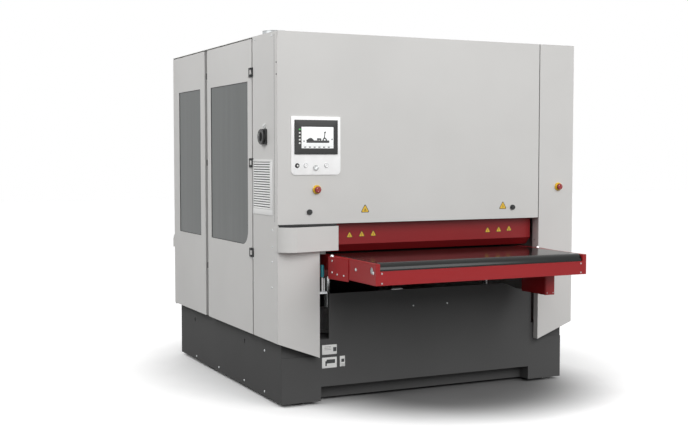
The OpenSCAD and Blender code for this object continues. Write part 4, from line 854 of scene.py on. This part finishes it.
class SANDER_OT_signs(bpy.types.Operator):
    """Plain triangles on the cover and the bar, and bare plates on the base"""

    bl_idname = "sander.signs"
    bl_label = "Signs and plates"

    def execute(self, context):
        for body, y, side, signs in (
            ("cover", 0.0, fittings().triangle / MM, ((-495, 1198, "bar"), (516, 1198, "bolt"))),
            ("safety_bar", 75.0, fittings().bar_triangle / MM,
             ((-565, 1036, "bar"), (-481, 1039, "dot"), (-400, 1040, "bolt"),
              (448, 1037, "bolt"), (535, 1038, "dot"), (616, 1042, "bar"))),
        ):
            places = [front(x, y, z) for x, z, _ in signs]
            borders = [(triangle(side, 1.0, BORDER_DEPTH), place) for place in places]
            fields = [(triangle(side, 0.8, FIELD_DEPTH), place) for place in places]
            marks = [part for place, sign in zip(places, signs) for part in sign_mark(side, place, sign[2])]
            piece(body + "_sign_borders", borders, "print_border", body)
            piece(body + "_sign_fields", fields, "print_yellow", body)
            piece(body + "_sign_marks", marks, "print_border", body)
        t = fittings().plate_thickness / MM
        y = Span("base_apron").y0
        plates = ((-762, -662, 306, 366), (-762, -662, 222, 288), (-641, -606, 224, 290))
        piece("base_plates", [
            (plate(x1 - x0, z1 - z0, t, 3, 0.2), front((x0 + x1) / 2, y, (z0 + z1) / 2)) for x0, x1, z0, z1 in plates
        ], "print_white", "machine")
        piece("plate_rivets", [
            (turned([(0, 0), (2.4, 0), (2, 0.9), (0, 1.2)], 12), front(x, y - t, z))
            for x0, x1, z0, z1 in plates[:2] for x in (x0 + 5, x1 - 5) for z in (z0 + 5, z1 - 5)
        ], "zinc", "machine")
        # Plain dark blocks and lines on the plates, without lettering
        blocks = [
            (plate(w, h, 0.3, 1, 0), front(x, y - t, z))
            for x, z, w, h in ((-676, 336, 22, 26), (-703, 262, 58, 24), (-735, 250, 10, 30), (-621, 262, 20, 20))
        ]
        for k in range(3):
            blocks.append((plate(44, 1.6, 0.3, 0, 0), front(-724, y - t, 354 - k * 9)))
            blocks.append((plate(24, 1.6, 0.3, 0, 0), front(-621, y - t, 240 - k * 7)))
        piece("plate_fields", blocks, "print_dark", "machine")
        return {"FINISHED"}


# Half width of the table
TABLE_X = 730
# Side of the flared covers where the slope starts, then start, length and slope of the flare
FLARE_X = 733.3
FLARE_Y = -255
FLARE_LENGTH = 207
FLARE_SLOPE = 0.17
TERMINAL_BOX = (608, 677), (-350, -90), (647, 800)


class SANDER_OT_table_fittings(bpy.types.Operator):
    """Bolts, chrome caps and terminal box of the table"""

    bl_idname = "sander.table_fittings"
    bl_label = "Table fittings"

    def execute(self, context):
        bolts = []
        for y, z in ((-350, 870), (-572, 871)):
            for place in (left(-TABLE_X, y, z), at(TABLE_X, y, z, FACE_RIGHT)):
                bolts.append((turned([(0, 0), (10, 0), (10, 1.6), (7.5, 1.6), (7.5, 1.7)], 24), place))
                bolts.append((button_head(7.5, 5.0, 3.2), off(place, 0, 0, 1.6)))
        bolts += heads([front(x, -600, z) for x in (-690, 690) for z in (812, 868)], 5.5, 3.0, 2.4)
        piece("table_bolts", bolts, "zinc", "table")
        # Chrome domes of the flared covers, with a thin seat
        covers = Span("table_covers")
        dome = [(0, 0), (14.5, 0), (14.5, 1.5), (12.9, 1.5), (12.4, 4.5), (10.6, 8.6), (7.4, 11.6), (3.6, 13.0),
                (0, 13.4)]
        piece("table_caps", [
            (turned(dome, 32), at(s * (covers.x1 - 18.5), FLARE_Y + FLARE_LENGTH - 15.5, covers.z1 - 12.5))
            for s in (-1, 1)
        ], "chrome", "table")
        # Screws along the folded sides of the flares
        places = []
        for s, face in ((-1, FACE_LEFT), (1, FACE_RIGHT)):
            for part, z in ((0.22, 820), (0.55, 822), (0.8, 900), (0.8, 830)):
                along = FLARE_LENGTH * part
                turn = -s * atan2(FLARE_SLOPE, 1.0)
                places.append(at(s * (FLARE_X + FLARE_SLOPE * along), FLARE_Y + along, z, turn=turn) @ face)
        piece("flare_screws", heads(places, 6.0, 3.2, 2.6), "zinc", "table")
        # Terminal box under the table: lids on its front and its left side, screws on the front one
        (x0, x1), (y0, y1), (z0, z1) = TERMINAL_BOX
        piece("terminal_lids", [
            (plate(x1 - x0 - 8, z1 - z0 - 10, 2.0, 4, 1.0), front((x0 + x1) / 2, y0, (z0 + z1) / 2)),
            (plate(y1 - y0 - 12, z1 - z0 - 12, 2.0, 4, 1.0), left(x0, (y0 + y1) / 2, (z0 + z1) / 2)),
        ], "table", "table")
        places = [front(x, y0 - 2, z) for z in (z0 + 13, z1 - 13) for x in (x0 + 11, x1 - 11)]
        piece("terminal_screws", heads(places, 3.6, 2.2, 1.6), "zinc", "table")
        return {"FINISHED"}


class SANDER_OT_conveyor(bpy.types.Operator):
    """Conveyor belt as one closed loop with softened edges"""

    bl_idname = "sander.conveyor"
    bl_label = "Conveyor belt"

    def execute(self, context):
        low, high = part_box("conveyor_belt")
        r, axis_z = (high.z - low.z) / 2, (high.z + low.z) / 2
        y0, y1 = low.y + r, high.y - r
        thick, edge = 4 * MM, 1.2 * MM
        bm = bmesh.new()

        def half_turn(geom, y):
            """Takes the belt's section round a roller and gives the edges where it ends."""
            end = bmesh.ops.spin(bm, geom=geom, cent=(0, y, axis_z), axis=(1, 0, 0), angle=-pi, steps=24)
            return only(end["geom_last"], BMEdge)

        section = [(low.x + edge, r), (high.x - edge, r), (high.x, r - edge), (high.x, r - thick),
                   (low.x, r - thick), (low.x, r - edge)]
        points = [bm.verts.new((x, y1, axis_z + h)) for x, h in section]
        lines = [bm.edges.new((points[i], points[(i + 1) % 6])) for i in range(6)]
        last = half_turn(points + lines, y1)
        if min(v.co.y for v in bm.verts) < y1 - r / 2:
            raise RuntimeError("the belt turned the wrong way round its drive roller")
        run = bmesh.ops.extrude_edge_only(bm, edges=last)["geom"]
        moved = only(run, BMVert)
        bmesh.ops.translate(bm, vec=(0, y0 - y1, 0), verts=moved)
        ends = [e for e in only(run, BMEdge) if all(v in moved for v in e.verts)]
        bmesh.ops.bridge_loops(bm, edges=half_turn(moved + ends, y0) + lines)
        piece("conveyor_loop", [(bm, FACE_UP)], "belt", "table", ("conveyor_belt",), 30)
        piece("conveyor_splice", [(plate(1398, 7, 0.3, 1, 0.1), at(0, 700, high.z / MM))], "vbelt", "table")
        return {"FINISHED"}


# Levels and place along the feed of the front door's hinges, and how far their black caps stand out
HINGE_LEVELS = (922, 1485, 2048)
HINGE_Y = 436.2
HINGE_CAP = 10.5
# Place along the feed of the groove between the doors
GROOVE_Y = 1318
# Middle and radius of the bend in the corner cover, its top, and the edge of the frame beside the front cover
BEND_X, BEND_Y, BEND_RADIUS = -979.3, 27, 98.2
CORNER_TOP = 1104
FRAME_X = 802


class SANDER_OT_sheet_details(bpy.types.Operator):
    """Seals, latches and hinge caps of the doors, dark strips of painted shade in the joints of the covers, and the
    roof joint
    """

    bl_idname = "sander.sheet_details"
    bl_label = "Doors and covers"

    def execute(self, context):
        side, cover, roof = Span("side_panels").x0, Span("front_cover"), Span("roof_rear_panels").z1
        # Rubber seals round the panes, just behind the sheet
        for body, y0, y1, z0, z1, corner in (
            ("front_door", 497, 1214, 963, 1995, 97), ("rear_door", 1445, 1948, 962, 1998, 4),
        ):
            seal = drawn(rounded([(-y1, z0, 4), (-y0, z0, corner), (-y0, z1, 4), (-y1, z1, 4)], 10), 2.4)
            caps = [max(seal.faces, key=height), min(seal.faces, key=height)]
            bmesh.ops.inset_region(seal, faces=caps, thickness=3.5 * MM, use_even_offset=True)
            rims = [edge for cap in caps for edge in cap.edges]
            bmesh.ops.delete(seal, geom=caps, context="FACES_ONLY")
            bmesh.ops.bridge_loops(seal, edges=rims)
            piece(body + "_seal", [(seal, left(side + 2.9, 0, 0))], "vbelt", body)
        # Latch handle behind the front pane, and the latches in the groove between the doors
        piece("door_latch", [
            (plate(34, 150, 6, 10, 2), left(side + 15, 903, 1666)),
            (plate(22, 96, 9, 9, 3), left(side + 19, 903, 1690)),
        ], "handle", "front_door")
        catches = [(plate(18, 42, 10, 3, 1), left(side + 14, GROOVE_Y, z)) for z in (760, 1480, 2080)]
        piece("door_catches", catches, "black_metal", "machine")
        # Black caps over the hinge leaves of the front door, with their screws
        caps = [(plate(31, 57, HINGE_CAP, 2, 0.8), left(side, HINGE_Y, z)) for z in HINGE_LEVELS]
        screws = [
            (turned([(0, 0), (4.6, 0), (4.2, 1.2), (2.2, 1.6), (0, 0.6)], 16), left(side - HINGE_CAP, 441, z + dz))
            for z in HINGE_LEVELS for dz in (-17, 17)
        ]
        piece("hinge_caps", caps, "black_metal", "front_door")
        piece("hinge_screws", screws, "black_metal", "front_door")
        # Painted shade in the joints: dark strips, drawn as sponge rubber, on the corner cover, behind the gap above
        # it and beside the front cover, where the joints lie in shadow
        bend = [(BEND_X + BEND_RADIUS * cos(radians(a)), BEND_Y + BEND_RADIUS * sin(radians(a)))
                for a in range(197, 262, 8)]
        top = cover.z0
        middle = (roof + top) / 2
        piece("joint_shade_strips", [
            (drawn([(-689, -3.2), *bend, (-689, -20.6)], 0.8), at(0, 0, CORNER_TOP)),
            (plate(380, top - CORNER_TOP - 1.5, 2.4, 0.8, 0.5), front(-880, -0.4, (top + CORNER_TOP) / 2)),
            (plate(5.4, roof - top - 6, 2.0, 0.6, 0.3), front((cover.x1 + FRAME_X) / 2, 5.2, middle)),
            (plate(2.2, roof - top - 30, 0.5, 0.2, 0.1), left(side, 46, middle)),
        ], "vbelt", "machine")
        # Strip over the joint of the roof sheets
        piece("roof_joint", [(plate(2140, 4, 1.2, 0, 0.4), at(0, 1048, roof))], "housing", "machine")
        return {"FINISHED"}


# Axes of the extraction spigots on the roof
SPIGOTS = ((-827, 650), (-500, 1560))


class SANDER_OT_spigots(bpy.types.Operator):
    """Rolled beads and sealing collars of the roof spigots"""

    bl_idname = "sander.spigots"
    bl_label = "Roof spigots"

    def execute(self, context):
        roof = Span("roof_rear_panels").z1
        collars, beads = [], []
        for x, y in SPIGOTS:
            place = at(x, y, roof)
            collars.append((turned([(81, 0), (98, 0), (98, 1.6), (84, 2.2), (81, 2.2), (81, 0)], 64), place))
            collars += heads([at(x + dx, y + dy, roof + 1.6) for dx, dy, _ in around(8, 91)], 4.2, 2.4, 1.8)
            beads.append((turned([(78.2, 66), (80.4, 66), (81.6, 68), (81.8, 70), (81.0, 71.6), (78.2, 71.6),
                                  (78.2, 66)], 64), place))
        piece("spigot_collars", collars, "zinc", "machine")
        piece("spigot_beads", beads, "zinc", "machine")
        return {"FINISHED"}


class SANDER_OT_sensor(bpy.types.Operator):
    """Height sensor: bracket, rods, teal sleeve, limit switch"""

    bl_idname = "sander.sensor"
    bl_label = "Height sensor"

    def execute(self, context):
        s = Span("height_sensor")
        tube_x, foot = s.x0 + 28, s.z0 + 13
        piece("sensor_bracket", [(plate(s.wide, 28, 14, 1.5, 0.8), at(s.x, s.y, s.z0))], "zinc", "machine",
              ("height_sensor",))
        piece("sensor_rods", [
            (turned([(0, 0), (4.2, 0), (4.2, 76), (3.2, 81), (0, 81)], 24), at(s.x1 - 14, s.y, foot)),
            (turned([(0, 0), (5.6, 0), (5.6, 84), (0, 84)], 24), at(tube_x, s.y, foot)),
        ], "white", "machine")
        sleeve = turned([(0, 0), (10, 0), (11.2, 1.5), (11.2, 71), (9.5, 74), (0, 74)], 32)
        piece("sensor_sleeve", [(sleeve, at(tube_x, s.y, foot + 88))], "teal", "machine")
        piece("sensor_switch", [
            (plate(45, 28, 25, 2, 1.5), at(s.x0 + 22.5, s.y, s.z1 - 25)),
            (turned([(0, 0), (4, 0), (4, 5), (0, 7)], 16), at(s.x0 + 34, s.y, s.z1 - 1)),
        ], "device", "machine")
        return {"FINISHED"}


def seen(tree):
    """One for rays from the camera and those mirrored or let through on the way, else nought."""
    path = add(tree, "LightPath").outputs
    either = add(tree, "Math", {0: path["Is Camera Ray"], 1: path["Is Glossy Ray"]}, operation="MAXIMUM")
    return add(tree, "Math", {0: either.outputs[0], 1: path["Is Transmission Ray"]}, operation="MAXIMUM").outputs[0]


def studio_floor():
    """White to the eye with its shadows, a plainer grey in what it throws back on the machine,
    and a little light of its own further out, so that it ends in the white background."""
    mat, tree, where, shader, out = start("Sealed pale studio floor")
    tint = ramp(tree, noise(tree, where, 3.0, 2.0), linear("#f4f4f4"), linear("#f8f8f8"))
    far = add(tree, "VectorMath", {0: where}, operation="LENGTH").outputs["Value"]
    lift = between(tree, far, 0.0, 0.5, in_From_Min=1.1, in_From_Max=2.4, interpolation_type="SMOOTHSTEP")
    # A darker tone is painted into the floor below the table, where the cast shadow alone stays too weak
    below = add(tree, "VectorMath", {0: where}, operation="DISTANCE")
    below.inputs[1].default_value = (0.25, -0.75, 0.0)
    darker = between(tree, below.outputs["Value"], 0.2, 1.0, in_From_Min=0.5, in_From_Max=1.25,
                     interpolation_type="SMOOTHSTEP")
    toned = add(tree, "VectorMath", {0: tint, "Scale": darker}, operation="SCALE")
    fit(tree, shader, {"Base Color": toned.outputs["Vector"], "Emission Color": tint, "Emission Strength": lift},
        in_Roughness=0.75, in_Specular_IOR_Level=0.2)
    plain = add(tree, "BsdfDiffuse", in_Color=linear("#747474"))
    mix = add(tree, "MixShader", {0: seen(tree), 1: plain.outputs["BSDF"], 2: shader.outputs["BSDF"]})
    fit(tree, out, {"Surface": mix.outputs[0]})
    return mat


def studio_world():
    """White surroundings, dimmer on the side of the doors, so that the front stays the brightest face."""
    world = bpy.data.worlds.new("Studio")
    world.use_nodes = True
    tree = world.node_tree
    tree.nodes.clear()
    side_of = add(tree, "SeparateXYZ", {"Vector": add(tree, "TexCoord").outputs["Generated"]})
    dim = between(tree, side_of.outputs["X"], 0.30, 0.70, in_From_Min=-1.0, in_From_Max=0.4)
    white = linear("#ffffff")
    soft = add(tree, "Background", {"Strength": dim}, in_Color=white)
    plain = add(tree, "Background", in_Color=white, in_Strength=1.0)
    mix = add(tree, "MixShader", {0: seen(tree), 1: soft.outputs[0], 2: plain.outputs[0]})
    add(tree, "OutputWorld", {"Surface": mix.outputs[0]})
    return world


# The photograph's camera: focal length and sensor in millimetres, place in metres, turns in degrees
LENS, SENSOR = 57.146, 36.0
CAMERA_PLACE = (-3.5163, -6.9248, 1.5305)
CAMERA_TURNS = (86.671, 0.0, -25.605)
# Name, place, target, width, height and power of each softbox
SOFTBOXES = (
    ("key", (1.0, -8.0, 5.0), (0.2, -0.9, 1.3), 8.0, 5.0, 470),
    ("top", (-5.2, -0.6, 4.9), (-1.0, 0.2, 1.7), 3.6, 3.6, 190),
)


class SANDER_OT_stage(bpy.types.Operator):
    """Floor, studio light and the camera at the photograph's place"""

    bl_idname = "sander.stage"
    bl_label = "Studio"

    def execute(self, context):
        scene = context.scene
        scene.view_settings.view_transform = "Standard"
        bm = bmesh.new()
        bmesh.ops.create_grid(bm, x_segments=2, y_segments=2, size=30)
        mesh = bpy.data.meshes.new("floor")
        bm.to_mesh(mesh)
        bm.free()
        mesh.materials.append(studio_floor())
        floor = bpy.data.objects.new("floor", mesh)
        scene.collection.objects.link(floor)
        scene.world = studio_world()

        for name, place, target, wide, tall, watts in SOFTBOXES:
            data = bpy.data.lights.new(name, "AREA")
            data.shape = "RECTANGLE"
            data.size, data.size_y, data.energy = wide, tall, watts
            lamp = bpy.data.objects.new(name, data)
            scene.collection.objects.link(lamp)
            lamp.location = place
            lamp.rotation_euler = (Vector(target) - Vector(place)).to_track_quat("-Z", "Y").to_euler()

        camera_data = bpy.data.cameras.new("view")
        camera_data.lens = LENS
        camera_data.sensor_width = SENSOR
        camera = bpy.data.objects.new("view", camera_data)
        camera.location = CAMERA_PLACE
        camera.rotation_euler = [radians(turn) for turn in CAMERA_TURNS]
        scene.collection.objects.link(camera)
        scene.camera = camera
        return {"FINISHED"}


OPERATORS = (
    SANDER_OT_coats, SANDER_OT_louvres, SANDER_OT_operator_panel, SANDER_OT_stops, SANDER_OT_switch,
    SANDER_OT_locks, SANDER_OT_screws, SANDER_OT_signs, SANDER_OT_table_fittings, SANDER_OT_conveyor,
    SANDER_OT_sheet_details, SANDER_OT_spigots, SANDER_OT_sensor, SANDER_OT_stage,
)


class SANDER_PT_panel(bpy.types.Panel):
    """Lists the pieces of the sander"""

    bl_label = "Wide-belt sander"
    bl_idname = "SANDER_PT_panel"
    bl_space_type = "VIEW_3D"
    bl_region_type = "UI"
    bl_category = "Sander"

    def draw(self, context):
        for kind in (SanderFinish, SanderFittings):
            group = getattr(context.scene, "sander_finish" if kind is SanderFinish else "sander_fittings")
            for key in kind.__annotations__:
                self.layout.prop(group, key)
        for operator in OPERATORS:
            self.layout.operator(operator.bl_idname)


CLASSES = (SanderFinish, SanderFittings, *OPERATORS, SANDER_PT_panel)


def register():
    for kind in CLASSES:
        bpy.utils.register_class(kind)
    bpy.types.Scene.sander_finish = bpy.props.PointerProperty(type=SanderFinish)
    bpy.types.Scene.sander_fittings = bpy.props.PointerProperty(type=SanderFittings)


def unregister():
    del bpy.types.Scene.sander_fittings
    del bpy.types.Scene.sander_finish
    for kind in reversed(CLASSES):
        bpy.utils.unregister_class(kind)


def main():
    register()
    for operator in OPERATORS:
        name = operator.bl_idname.split(".")[1]
        if getattr(bpy.ops.sander, name)() != {"FINISHED"}:
            raise RuntimeError("this step did not finish: " + name)


if __name__ == "__main__":
    main()
